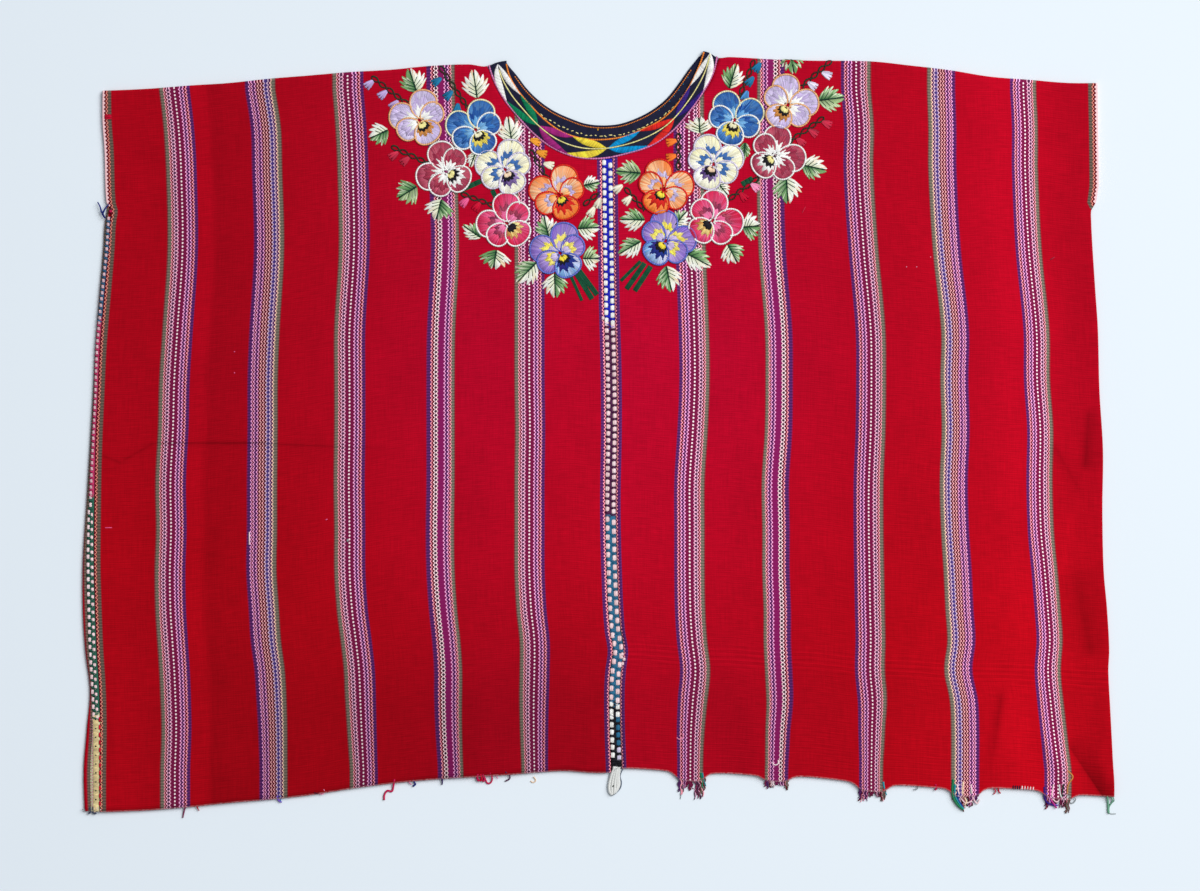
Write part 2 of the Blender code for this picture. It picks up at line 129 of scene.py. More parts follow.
# distance across, height of the front hem, height of the shoulder fold
ENDS = (
    (-410.0, -0.5, 567.6),
    (-385.0, 0.2, 568.3),
    (-355.0, 1.4, 569.7),
    (-323.0, 4.0, 572.2),
    (-292.0, 7.2, 574.2),
    (-260.0, 9.8, 577.6),
    (-228.0, 13.4, 580.2),
    (-197.0, 18.2, 582.8),
    (-165.0, 22.4, 584.6),
    (-134.0, 25.4, 587.6),
    (-103.0, 27.4, 588.8),
    (-90.0, 28.2, 587.2),
    (-81.0, 28.8, 590.4),
    (-73.0, 29.2, 591.8),
    (-30.0, 32.3, 594.0),
    (-4.0, 30.8, 596.0),
    (8.0, 31.2, 597.0),
    (18.0, 34.4, 597.6),
    (60.0, 32.0, 598.6),
    (80.0, 30.8, 599.4),
    (86.0, 30.6, 598.0),
    (93.0, 30.5, 594.0),
    (102.0, 30.4, 594.6),
    (134.0, 28.2, 592.9),
    (165.0, 27.6, 591.8),
    (213.0, 22.4, 591.2),
    (244.0, 20.8, 588.0),
    (276.0, 18.6, 584.2),
    (307.0, 19.0, 579.2),
    (339.0, 17.6, 576.6),
    (370.0, 14.2, 574.2),
    (410.0, 11.6, 574.4),
)
# middle and half width of a band that hangs out of the hem, and how far it hangs
BAND_DROPS = (
    (71.0, 11.8, 7.0),
    (139.0, 11.2, 4.0),
    (214.5, 12.5, 6.0),
    (288.5, 12.0, 6.5),
    (361.0, 11.5, 5.0),
)
# height, distance across of the middle of the joining seam
CENTRE_LINE = (
    (0.0, 13.6),
    (33.0, 13.0),
    (64.0, 11.8),
    (96.0, 11.4),
    (112.0, 12.4),
    (127.0, 14.4),
    (143.0, 11.8),
    (175.0, 9.8),
    (238.0, 8.2),
    (301.0, 9.0),
    (350.0, 8.6),
    (400.0, 7.2),
    (514.0, 5.6),
    (600.0, 4.6),
)
# direction from the neck's centre, reach of: front ribbon's outer and inner edge, back ribbon's
# inner and outer edge
NECK = (
    (182.0, 90.2, 75.6, 75.2, 90.0),
    (190.0, 87.5, 74.0, 68.5, 85.0),
    (200.0, 84.2, 70.5, 63.8, 80.5),
    (212.0, 80.8, 66.8, 59.3, 76.0),
    (225.0, 79.7, 65.2, 55.5, 72.0),
    (240.0, 79.8, 64.6, 52.4, 68.5),
    (255.0, 79.4, 63.5, 51.6, 66.8),
    (270.0, 77.7, 62.3, 51.2, 66.3),
    (285.0, 76.3, 62.2, 51.8, 66.8),
    (300.0, 77.8, 62.6, 52.8, 69.0),
    (315.0, 78.7, 65.6, 55.3, 72.0),
    (330.0, 79.9, 68.1, 59.0, 76.5),
    (342.0, 83.2, 70.8, 62.4, 80.5),
    (354.0, 88.2, 74.8, 68.3, 86.0),
    (364.0, 91.1, 79.5, 77.7, 91.0),
)
FRONT_OUTER, FRONT_INNER, BACK_INNER, BACK_OUTER = 1, 2, 3, 4
# middle of each soft fold, direction, half length, half width, height
FOLDS = (
    (363.0, 36.0, 112.0, 44.0, 9.0, 2.6),
    (316.0, 60.0, 84.0, 50.0, 12.0, 1.4),
    (225.0, 116.0, 2.0, 190.0, 15.0, 0.9),
    (-240.0, 297.0, -1.0, 80.0, 13.0, 0.9),
    (-300.0, 45.0, 97.0, 60.0, 15.0, 1.5),
    (-95.0, 70.0, 82.0, 70.0, 15.0, 1.7),
    (120.0, 62.0, 95.0, 58.0, 14.0, 1.6),
    (230.0, 330.0, 78.0, 120.0, 17.0, 0.9),
    (-170.0, 430.0, 62.0, 95.0, 16.0, 0.9),
    (300.0, 520.0, 58.0, 70.0, 16.0, 1.1),
    (-330.0, 500.0, 125.0, 70.0, 15.0, 1.1),
    (-30.0, 250.0, 100.0, 110.0, 15.0, 0.8),
)
# the same columns for the finer creases, which only the dressed cloth has
CREASES = (
    (314.0, 63.0, 81.0, 44.0, 3.4, 1.3),
    (352.0, 52.0, 118.0, 34.0, 4.0, 0.8),
    (399.0, 26.0, 114.0, 34.0, 6.0, 2.2),
    (20.0, 124.0, -14.0, 26.0, 4.0, 0.7),
    (84.0, 116.0, -5.0, 60.0, 3.2, 0.5),
    (200.0, 112.0, 2.0, 120.0, 3.0, 0.45),
    (-272.0, 290.5, -1.0, 80.0, 2.8, 0.5),
    (-385.0, 279.0, -20.0, 9.0, 3.0, 0.4),
    (-364.0, 283.0, 28.0, 15.0, 3.0, 0.4),
    (-382.0, 70.0, 88.0, 60.0, 3.0, 0.5),
    (150.0, 250.0, 84.0, 90.0, 9.0, 0.4),
    (-60.0, 160.0, 96.0, 80.0, 9.0, 0.4),
)

# ---- where the warp stripes run: height, then the middle of each band from the centre outward ----
LEFT_BANDS = (
    (33.0, -51.5, -117.5, -186.0, -257.0, -334.5),
    (64.5, -52.0, -119.0, -187.5, -257.5, -333.5),
    (88.0, -52.0, -119.5, -188.5, -258.5, -334.0),
    (112.0, -51.5, -119.5, -189.5, -260.0, -335.0),
    (135.0, -51.5, -121.0, -192.0, -263.0, -336.5),
    (159.0, -54.0, -123.5, -195.0, -264.5, -338.0),
    (190.0, -55.5, -125.5, -197.0, -266.5, -338.5),
    (222.0, -55.5, -126.0, -197.0, -266.0, -337.5),
    (260.0, -55.5, -125.5, -197.5, -266.0, -338.0),
    (301.0, -55.0, -125.5, -197.0, -265.5, -336.0),
    (340.0, -55.5, -125.5, -197.0, -265.5, -335.0),
    (380.0, -55.5, -125.0, -197.0, -264.0, -332.5),
    (443.0, -55.5, -122.0, -193.5, -260.5, -328.5),
    (506.0, -55.5, -123.5, -194.5, -262.0, -329.5),
    (538.0, -55.5, -124.5, -196.0, -263.0, -331.5),
    (569.0, -55.5, -125.5, -198.5, -267.5, -335.0),
)
RIGHT_BANDS = (
    (33.0, 71.0, 139.0, 213.5, 287.5, 360.5),
    (64.5, 71.5, 140.0, 214.0, 287.5, 357.0),
    (88.0, 73.0, 141.5, 214.5, 286.5, 354.5),
    (112.0, 75.0, 140.5, 212.5, 282.0, 352.5),
    (135.0, 72.5, 139.5, 213.0, 284.5, 354.0),
    (159.0, 71.0, 139.5, 212.5, 283.0, 352.5),
    (190.0, 70.5, 138.5, 212.0, 281.5, 350.0),
    (222.0, 70.5, 138.5, 211.5, 279.5, 347.0),
    (260.0, 70.5, 138.0, 211.5, 278.5, 346.0),
    (301.0, 73.0, 140.5, 213.0, 280.0, 346.5),
    (340.0, 74.5, 141.0, 213.5, 279.0, 344.0),
    (380.0, 74.0, 140.5, 213.0, 279.5, 343.5),
    (443.0, 71.5, 135.5, 207.5, 273.0, 337.5),
    (506.0, 70.0, 134.0, 203.5, 269.5, 334.5),
    (538.0, 70.0, 134.0, 204.0, 269.5, 334.5),
    (569.0, 70.0, 134.5, 201.5, 268.5, 333.0),
)
# distance on the loom from the inner selvedge to the middle of each band
BAND_PLACES = (57.5, 128.0, 198.25, 268.5, 339.0)
# how wide each band lies at the hem and higher up, from the centre outward
LEFT_BAND_WIDTHS = ((21.5, 24.2), (20.5, 22.8), (22.5, 25.0), (22.5, 24.4), (24.0, 24.6))
RIGHT_BAND_WIDTHS = ((20.5, 24.4), (18.5, 22.0), (19.0, 24.0), (22.5, 22.6), (21.5, 20.8))
GATHERED_BELOW = (40.0, 95.0)     # heights between which those widths change
LOOM_WIDTH = 396.0
# distance on the loom, depth of the red dye in the left and in the right width, how much painted shade
# darkens it towards the front hem, left and right, and how much bluer the red is, left and right
DYE_AND_HEM_SHADE = (
    (0.0, 1.22, 1.29, 0.30, 0.22, 1.45, 1.75),
    (25.0, 1.22, 1.27, 0.30, 0.20, 1.45, 1.70),
    (93.0, 1.15, 1.22, 0.30, 0.20, 1.55, 1.60),
    (163.0, 1.09, 1.17, 0.26, 0.12, 1.25, 1.25),
    (235.0, 1.02, 1.18, 0.20, 0.04, 0.95, 1.02),
    (298.0, 0.91, 1.30, 0.14, -0.02, 0.85, 1.05),
    (312.0, 0.90, 1.40, 0.12, -0.02, 0.85, 1.05),
    (315.0, 1.08, 1.42, 0.10, 0.0, 0.85, 1.05),
    (328.0, 1.06, 1.38, 0.08, 0.0, 0.85, 1.05),
    (350.0, 0.98, 1.32, 0.06, 0.02, 0.80, 1.00),
    (375.0, 1.02, 1.14, 0.02, 0.0, 0.80, 1.00),
    (396.0, 1.02, 1.14, 0.0, 0.0, 0.80, 1.00),
)
HEM_SHADE_BELOW = (185.0, 58.0)      # lengths from the hem where that painted shade starts and is full
LESS_BLUE_BELOW = (330.0, 120.0)
LESS_BLUE = 0.42                  # share of the blue that is lost there
LEAST_BLUE = 0.62
# lengths from the hem between which the right width's weft stands out in ribs
RIB_BAND = (80.0, 104.0)
RIB_BAND_FADE = 6.0
COARSE_BELOW = (70.0, 20.0)
LEFT_COARSE_SHARE = 0.3           # how much of that coarseness the left width has

# ---- dyes, as display red, green and blue ----
DYES = {
    "olive": (114, 106, 94),
    "russet": (122, 52, 56),
    "salmon": (255, 160, 176),
    "crimson": (104, 6, 34),
    "pink": (255, 190, 220),
    "ash": (84, 46, 76),
    "magenta": (120, 24, 68),
    "fuchsia": (132, 28, 90),
    "violet": (86, 38, 98),
    "plum": (130, 26, 78),
    "lilac": (252, 172, 222),
    "grape": (86, 34, 88),
    "iris": (72, 54, 122),
    "maroon": (90, 6, 30),
    "peach": (255, 206, 184),
    "pearl": (216, 182, 208),
    "coral": (255, 184, 188),
    "cream": (252, 230, 234),
    "blush": (255, 220, 226),
    "slate": (58, 40, 54),
    "shell": (244, 200, 204),
    "cherry": (104, 8, 30),
    "moss": (98, 84, 74),
    "sand": (236, 150, 132),
}


def linear(colours):
    """Display colours, 0 to 255, as linear values with a full fourth channel."""
    colours = np.clip(np.asarray(colours, float) / 255.0, 0.0, 1.0)
    values = np.where(colours <= 0.04045, colours / 12.92, ((colours + 0.055) / 1.055) ** 2.4)
    return np.concatenate([values, np.ones(values.shape[:-1] + (1,))], axis=-1)


def paint(red, green, blue):
    """A display colour as the linear values that a shader takes."""
    return tuple(linear((red, green, blue)).tolist())


def setting_paint(colour):
    """A colour of the settings, 0 to 1, as a shader takes it."""
    return paint(*[255.0 * channel for channel in colour])


# ---- smooth curves through the tables ----
class Curve:
    """A smooth curve through one column of a table, as a function of its first column."""

    def __init__(self, rows, column=1):
        self.x = np.array([row[0] for row in rows], float)
        self.y = np.array([row[column] for row in rows], float)
        before = np.maximum(np.arange(len(rows)) - 1, 0)
        after = np.minimum(np.arange(len(rows)) + 1, len(rows) - 1)
        self.slope = (self.y[after] - self.y[before]) / (self.x[after] - self.x[before])

    def __call__(self, x):
        x = np.clip(x, self.x[0], self.x[-1])
        i = np.clip(np.searchsorted(self.x, x, side="right") - 1, 0, len(self.x) - 2)
        span = self.x[i + 1] - self.x[i]
        t = (x - self.x[i]) / span
        return (
            (2 * t ** 3 - 3 * t ** 2 + 1) * self.y[i]
            + (t ** 3 - 2 * t ** 2 + t) * span * self.slope[i]
            + (3 * t ** 2 - 2 * t ** 3) * self.y[i + 1]
            + (t ** 3 - t ** 2) * span * self.slope[i + 1]
        )


plain_hem = Curve(ENDS, 1)
shoulder = Curve(ENDS, 2)
centre_line = Curve(CENTRE_LINE)
left_edge, left_selvedge, left_turned = (Curve(LEFT_SIDE, k) for k in (1, 2, 3))
right_edge = Curve(RIGHT_SIDE)
neck_reach = {k: Curve(NECK, k) for k in (FRONT_OUTER, FRONT_INNER, BACK_INNER, BACK_OUTER)}
left_bands = [Curve(LEFT_BANDS, k) for k in range(1, 6)]
right_bands = [Curve(RIGHT_BANDS, k) for k in range(1, 6)]
dye_lots = {-1: Curve(DYE_AND_HEM_SHADE, 1), 1: Curve(DYE_AND_HEM_SHADE, 2)}
hem_shade = {-1: Curve(DYE_AND_HEM_SHADE, 3), 1: Curve(DYE_AND_HEM_SHADE, 4)}
blueness = {-1: Curve(DYE_AND_HEM_SHADE, 5), 1: Curve(DYE_AND_HEM_SHADE, 6)}


def hem(x):
    """Height of the front hem, lower where a band's worn end hangs out of it."""
    total = plain_hem(x)
    for middle, half_width, drop in BAND_DROPS:
        total = total - drop / (1.0 + np.abs((x - middle) / half_width) ** 7)
    return total


def soft_fold(x, y, middle_x, middle_y, direction, half_length, half_width, rise):
    """Height that one soft fold adds, fading out along its length."""
    turn = math.radians(direction)
    along = (x - middle_x) * math.cos(turn) + (y - middle_y) * math.sin(turn)
    across = (y - middle_y) * math.cos(turn) - (x - middle_x) * math.sin(turn)
    taper = np.cos(0.5 * np.pi * np.clip(along / half_length, -1.0, 1.0)) ** 2
    return rise * taper * np.exp(-(across / half_width) ** 2)


def undulation(x, y):
    """The slight unevenness of washed cotton that lies loose."""
    return (
        0.10 * np.sin(x / 17.0 + 1.3 * np.sin(y / 41.0))
        + 0.09 * np.sin(y / 21.0 + 1.1 * np.sin(x / 53.0) + 2.0)
        + 0.06 * np.sin((x + 0.6 * y) / 9.0 + 0.7)
        + 0.05 * np.sin((0.8 * x - y) / 11.0 + 4.0)
    )


def lift(x, y):
    """How far the laid cloth rises in its folds, creases and unevenness."""
    height, reach = SHOULDER_PUFF
    total = height * np.exp(-((shoulder(x) - y) / reach) ** 2)
    for row in FOLDS + CREASES:
        total = total + soft_fold(x, y, *row)
    return total + undulation(x, y)


def front_level(x, y):
    """Height of the middle of the front layer."""
    return 1.5 * WALL + GAP + lift(x, y)


def fold_start(x):
    """Height at which the flat cloth meets the round of the shoulder fold."""
    y = shoulder(x)
    return y - 0.5 * (front_level(x, y) - BACK_LEVEL) - 0.5 * WALL


def neck_point(angle, column, clearance=0.0):
    """Places on an edge of the neck ribbon, in these directions from the neck's centre."""
    reach = neck_reach[column](angle) + clearance
    turn = np.radians(angle)
    return NECK_CENTRE[0] + reach * np.cos(turn), NECK_CENTRE[1] + reach * np.sin(turn)


FURTHEST_TURN = 1.9       # radians round the shoulder fold that needlework may reach


def on_front(x, y, above=0.0):
    """Points over the outer face of the front layer, carried round the shoulder fold."""
    x, y, above = np.broadcast_arrays(*(np.asarray(v, float) for v in (x, y, above)))
    start = fold_start(x)
    flat_y = np.minimum(y, start)
    radius = 0.5 * (front_level(x, start) - BACK_LEVEL) + 0.5 * WALL
    turn = np.clip((y - start) / radius, 0.0, FURTHEST_TURN)
    over = turn > 0
    flat = front_level(x, flat_y) + 0.5 * WALL + above
    middle = BACK_LEVEL + radius - 0.5 * WALL
    place_y = np.where(over, start + (radius + above) * np.sin(turn), flat_y)
    place_z = np.where(over, middle + (radius + above) * np.cos(turn), flat)
    return np.stack([x, place_y, place_z], axis=-1)


# ---- making meshes ----
def placed(points):
    """Garment millimetres as metres in the part's frame."""
    points = np.asarray(points, float)
    return (points - (ORIGIN[0], ORIGIN[1], 0.0)) * METRES


def piece_from(name, points, faces, material):
    """An object from points in millimetres and arrays of faces with equal corners."""
    mesh = bpy.data.meshes.new(name)
    mesh.vertices.add(len(points))
    mesh.vertices.foreach_set("co", placed(points).astype(np.float32).ravel())
    corners = np.concatenate([np.asarray(group, np.int32).ravel() for group in faces])
    sizes = np.concatenate([np.full(len(group), np.shape(group)[1]) for group in faces])
    starts = np.concatenate([[0], np.cumsum(sizes)[:-1]]).astype(np.int32)
    mesh.loops.add(len(corners))
    mesh.loops.foreach_set("vertex_index", corners)
    mesh.polygons.add(len(starts))
    mesh.polygons.foreach_set("loop_start", starts)
    mesh.update(calc_edges=True)
    mesh.validate()
    mesh.shade_smooth()
    mesh.materials.append(material)
    piece = bpy.data.objects.new(name, mesh)
    bpy.context.scene.collection.objects.link(piece)
    return piece


def set_vectors(piece, name, values):
    """Give each point of a piece a vector."""
    layer = piece.data.attributes.new(name, "FLOAT_VECTOR", "POINT")
    layer.data.foreach_set("vector", np.asarray(values, np.float32).ravel())


def set_values(piece, name, values):
    """Give each point of a piece a number."""
    layer = piece.data.attributes.new(name, "FLOAT", "POINT")
    layer.data.foreach_set("value", np.asarray(values, np.float32).ravel())


def set_colours(piece, name, values):
    """Give each point of a piece a colour."""
    layer = piece.data.attributes.new(name, "FLOAT_COLOR", "POINT")
    layer.data.foreach_set("color", np.asarray(values, np.float32).ravel())


def grid_faces(rows, columns, offset=0, turned=False):
    """Four-cornered faces between the points of a grid."""
    index = offset + np.arange(rows * columns).reshape(rows, columns)
    faces = np.stack([index[:-1, :-1], index[:-1, 1:], index[1:, 1:], index[1:, :-1]], axis=-1)
    faces = faces.reshape(-1, 4)
    return faces[:, ::-1] if turned else faces


def shell_faces(rows, columns):
    """Faces of a closed sheet whose outer grid is followed by its inner one."""
    count = rows * columns
    index = np.arange(count).reshape(rows, columns)
    rim = np.concatenate([
        index[0, :], index[1:, -1], index[-1, -2::-1], index[-2:0:-1, 0],
    ])
    ahead = np.roll(rim, -1)
    side = np.stack([rim, rim + count, ahead + count, ahead], axis=-1)
    return [grid_faces(rows, columns), grid_faces(rows, columns, count, True), side]


def facing_up(piece):
    """Turn the faces outward, so that the closed shell has its inside inside."""
    bm = bmesh.new()
    bm.from_mesh(piece.data)
    bmesh.ops.recalc_face_normals(bm, faces=bm.faces)
    bm.to_mesh(piece.data)
    bm.free()
    return piece


# ---- shader nodes ----
class Shades:
    """A new material and short ways to join its nodes."""

    def __init__(self, name, roughness, specular=0.05, colour=None):
        self.material = bpy.data.materials.new(name)
        self.material.use_nodes = True
        self.tree = self.material.node_tree
        self.shader = self.tree.nodes["Principled BSDF"]
        self.shader.inputs["Roughness"].default_value = roughness
        self.shader.inputs["Specular IOR Level"].default_value = specular
        if colour:
            self.shader.inputs["Base Color"].default_value = colour

    def node(self, kind, inputs=(), **settings):
        """A node with its inputs, each a socket to join or a plain value."""
        made = self.tree.nodes.new(kind)
        for name, value in settings.items():
            setattr(made, name, value)
        for socket, value in inputs:
            if isinstance(value, bpy.types.NodeSocket):
                self.tree.links.new(value, made.inputs[socket])
            else:
                made.inputs[socket].default_value = value
        return made

    def math(self, operation, *values):
        """One step of arithmetic."""
        return self.node("ShaderNodeMath", enumerate(values), operation=operation).outputs[0]

    def ripple(self, value, pitch):
        """A sine wave of this pitch."""
        return self.math("SINE", self.math("MULTIPLY", value, 2 * math.pi / pitch))

    def within(self, value, low, high):
        """One where low < value < high."""
        above = self.math("GREATER_THAN", value, low)
        return self.math("MULTIPLY", above, self.math("LESS_THAN", value, high))

    def mix(self, factor, first, second, blend="MIX"):
        """Two colours mixed."""
        inputs = ((0, factor), (6, first), (7, second))
        return self.node("ShaderNodeMix", inputs, data_type="RGBA", blend_type=blend).outputs[2]

    def ramp(self, value, stops, interpolation="CONSTANT"):
        """stops are (position, colour)."""
        made = self.node("ShaderNodeValToRGB", [(0, value)])
        made.color_ramp.interpolation = interpolation
        elements = made.color_ramp.elements
        while len(elements) < len(stops):
            elements.new(1.0)
        for element, (place, colour) in zip(elements, stops):
            element.position = place
            element.color = colour
        return made.outputs[0]

    def attribute(self, name):
        """What the points of a piece say under this name."""
        return self.node("ShaderNodeAttribute", attribute_name=name)

    def split(self, vector):
        """The three parts of a vector."""
        return self.node("ShaderNodeSeparateXYZ", [(0, vector)]).outputs

    def join(self, x, y, z=0.0):
        """A vector of three parts."""
        return self.node("ShaderNodeCombineXYZ", [(0, x), (1, y), (2, z)]).outputs[0]

    def noise(self, vector, scale, detail=2.0):
        """Even noise, from 0 to 1."""
        made = self.node("ShaderNodeTexNoise", [("Vector", vector), ("Scale", scale), ("Detail", detail)])
        return made.outputs[0]

    def patches(self, across, along, wide, long, detail=2.0):
        """Noise whose patches are so wide and so long, in millimetres."""
        place = self.join(self.math("DIVIDE", across, wide), self.math("DIVIDE", along, long))
        return self.noise(place, 1.0, detail)

    def spread(self, value, low, high):
        """Carries 0..1 to low..high."""
        inputs = ((0, value), (3, low), (4, high))
        return self.node("ShaderNodeMapRange", inputs).outputs[0]

    def scaled(self, colour, factor):
        """A colour made lighter or darker."""
        if not isinstance(colour, bpy.types.NodeSocket):
            colour = colour[:3]
        made = self.node("ShaderNodeVectorMath", [(0, colour), ("Scale", factor)], operation="SCALE")
        return made.outputs[0]

    def colour(self, value):
        """Use this as the colour of the material."""
        self.tree.links.new(value, self.shader.inputs["Base Color"])

    def bump(self, height, distance, strength=1.0):
        """Let fine relief show in the shading."""
        inputs = (("Height", height), ("Distance", distance), ("Strength", strength))
        made = self.node("ShaderNodeBump", inputs)
        self.tree.links.new(made.outputs[0], self.shader.inputs["Normal"])


# ---- the striped cloth's colours ----
# each band lists the far edge of every group of warp threads, in millimetres, and its dye
WIDE_BAND = (
    (0.8, "russet"), (3.55, "olive"), (4.4, "salmon"), (5.65, "crimson"), (6.5, "pink"), (7.95, "ash"),
    (8.8, "pink"), (16.2, "magenta"), (17.05, "lilac"), (18.95, "grape"), (19.8, "lilac"),
    (21.4, "crimson"), (22.25, "salmon"), (24.8, "violet"), (25.3, "plum"),
)
OUTER_BAND = (
    (0.7, "plum"), (3.2, "violet"), (4.0, "lilac"), (5.2, "crimson"), (6.0, "lilac"), (7.9, "grape"),
    (8.65, "lilac"), (10.2, "maroon"), (11.0, "coral"), (12.5, "maroon"), (13.3, "coral"),
    (14.9, "maroon"), (15.8, "pearl"), (17.8, "iris"), (18.7, "pearl"), (20.2, "grape"),
    (21.1, "peach"), (24.0, "olive"), (24.8, "russet"),
)
INNER_BAND = (
    (0.7, "plum"), (3.75, "violet"), (4.6, "salmon"), (6.1, "crimson"), (7.05, "blush"), (8.15, "slate"),
    (9.1, "blush"), (14.25, "fuchsia"), (15.1, "lilac"), (17.0, "grape"), (17.85, "lilac"),
    (19.0, "crimson"), (19.85, "salmon"), (22.1, "olive"), (22.9, "russet"),
)
BAND_STRIPES = (WIDE_BAND, INNER_BAND, WIDE_BAND, OUTER_BAND, WIDE_BAND)
INNER_SELVEDGE = ((0.2, "crimson"), (1.0, "salmon"), (1.5, "crimson"), (3.7, "violet"))
OUTER_SELVEDGE = (
    (1.7, "shell"), (3.2, "cherry"), (3.9, "sand"), (4.4, "cherry"), (6.5, "moss"), (7.0, "russet"),
)
# where a band's threads float in a zigzag: from and to in millimetres, and which way they go first
WIDE_ZIGZAGS = ((3.4, 7.2, 1.0), (7.2, 9.4, -1.0), (15.7, 22.7, 1.0))
OUTER_ZIGZAGS = ((2.8, 16.85, 1.0), (16.85, 21.8, -1.0))
INNER_ZIGZAGS = ((3.4, 7.6, 1.0), (7.6, 9.5, -1.0), (13.8, 20.3, 1.0))
ZIGZAG_PITCH = 2.85
LOOSE_PITCH = 3.1         # of those in the inner and the outer band and in the outer selvedge
INNER_EDGE_ZIGZAGS = ((0.0, 1.5, 1.0),)
OUTER_EDGE_ZIGZAGS = ((1.1, 4.3, 1.0),)
ZIGZAG_SWING = 0.55
FLOAT_LIGHT_AND_SHADE = 0.22       # painted highlight and shade: how much brighter a float is at one end of its swing than in the middle, and darker at the other
DOT_PITCH = 2.85
TICK_PITCH = 2.3
BAND_TICKS = (0.30, 0.96)     # how much the ticks of the plain stripes show, and their mean tone
INNER_EDGE_TICKS = 0.25
OUTER_EDGE_TICKS = 0.35
WIDE_BAND_DOTS = ((12.5, 0.0, 0.72, 0.78, "cream"),)
RIB_PITCH = 4.05
COARSE_PITCH = 2.6


def stripe_ramp(shades, place, stripes, width):
    """A band's dyes across its width, at a place from 0 to 1."""
    starts = [0.0] + [edge for edge, _ in stripes[:-1]]
    stops = [(start / width, paint(*DYES[dye])) for start, (_, dye) in zip(starts, stripes)]
    return shades.ramp(place, stops)


def zigzag_places(shades, place, along, zones, width, pitch=ZIGZAG_PITCH):
    """Shift a band's places to and fro along the warp, inside its zigzag zones."""
    swing = shades.math("PINGPONG", along, 0.5 * pitch)
    swing = shades.math("MULTIPLY_ADD", swing, 6.0 / pitch, -1.5)
    swing = shades.math("MAXIMUM", shades.math("MINIMUM", swing, 1.0), -1.0)
    swing = shades.math("MULTIPLY", swing, ZIGZAG_SWING / width)
    moved = place
    for low, high, way in zones:
        zone = shades.math("MULTIPLY", shades.within(place, low / width, high / width), way)
        moved = shades.math("MULTIPLY_ADD", swing, zone, moved)
    return moved


def dots(shades, across, along, middle, phase, half_width, half_length):
    """One in each dot of a column of floats, in millimetres."""
    x = shades.math("DIVIDE", shades.math("SUBTRACT", across, middle), half_width)
    y = shades.math("WRAP", shades.math("SUBTRACT", along, phase), 0.5 * DOT_PITCH, -0.5 * DOT_PITCH)
    y = shades.math("DIVIDE", y, half_length)
    squares = shades.math("ADD", shades.math("MULTIPLY", x, x), shades.math("MULTIPLY", y, y))
    return shades.math("LESS_THAN", squares, 1.0)


def striped(shades, ground, across, along):
    """The ground with the five bands and both selvedges laid over it."""
    def band(colour, distance, stripes, zones, pitch, spots):
        width = stripes[-1][0]
        place = shades.math("MULTIPLY_ADD", distance, -1.0 / width, 0.5)
        shown = shades.within(place, 0.0, 1.0)
        moved = zigzag_places(shades, place, along, zones, width, pitch)
        # painted highlight and shade along each float's slant
        sway = shades.math("SUBTRACT", moved, place)
        shade = shades.math("MULTIPLY_ADD", sway, FLOAT_LIGHT_AND_SHADE * width / ZIGZAG_SWING, 1.0)
        tint = shades.scaled(stripe_ramp(shades, moved, stripes, width), shade)
        measured = shades.math("MULTIPLY", place, width)
        first, last = stripes[1][0], stripes[-3][0]
        plain = shades.math("ADD", shades.math("LESS_THAN", measured, first),
                            shades.math("GREATER_THAN", measured, last))
        ticks = shades.ripple(along, TICK_PITCH)
        ticks = shades.math("MULTIPLY_ADD", shades.math("MULTIPLY", ticks, plain), *BAND_TICKS)
        tint = shades.scaled(tint, ticks)
        for middle, phase, half_width, half_length, dye in spots:
            spot = dots(shades, measured, along, middle, phase, half_width, half_length)
            tint = shades.mix(spot, tint, paint(*DYES[dye]))
        return shades.mix(shown, colour, tint)

    step = 0.5 * (BAND_PLACES[4] - BAND_PLACES[0])
    wide = shades.math("SUBTRACT", across, BAND_PLACES[0])
    wide = shades.math("WRAP", wide, 0.5 * step, -0.5 * step)
    colour = band(ground, wide, WIDE_BAND, WIDE_ZIGZAGS, ZIGZAG_PITCH, WIDE_BAND_DOTS)
    inner = shades.math("SUBTRACT", across, BAND_PLACES[1])
    colour = band(colour, inner, INNER_BAND, INNER_ZIGZAGS, LOOSE_PITCH, ())
    outer = shades.math("SUBTRACT", across, BAND_PLACES[3])
    colour = band(colour, outer, OUTER_BAND, OUTER_ZIGZAGS, LOOSE_PITCH, ())

    def selvedge(colour, from_edge, stripes, zones, pitch, ticks, tick_share):
        width = stripes[-1][0]
        edge = shades.math("DIVIDE", from_edge, width)
        moved = zigzag_places(shades, edge, along, zones, width, pitch)
        tint = stripe_ramp(shades, moved, stripes, width)
        tint = shades.scaled(tint, shades.math("MULTIPLY_ADD", ticks, tick_share, 1.0))
        return shades.mix(shades.math("LESS_THAN", edge, 1.0), colour, tint)

    ticks = shades.ripple(along, TICK_PITCH)
    colour = selvedge(colour, across, INNER_SELVEDGE, INNER_EDGE_ZIGZAGS, ZIGZAG_PITCH,
                      ticks, INNER_EDGE_TICKS)
    from_outer = shades.math("SUBTRACT", LOOM_WIDTH, across)
    inward = shades.math("GREATER_THAN", from_outer, OUTER_SELVEDGE[-3][0])
    return selvedge(colour, from_outer, OUTER_SELVEDGE, OUTER_EDGE_ZIGZAGS, LOOSE_PITCH,
                    shades.math("MULTIPLY", ticks, inward), OUTER_EDGE_TICKS)
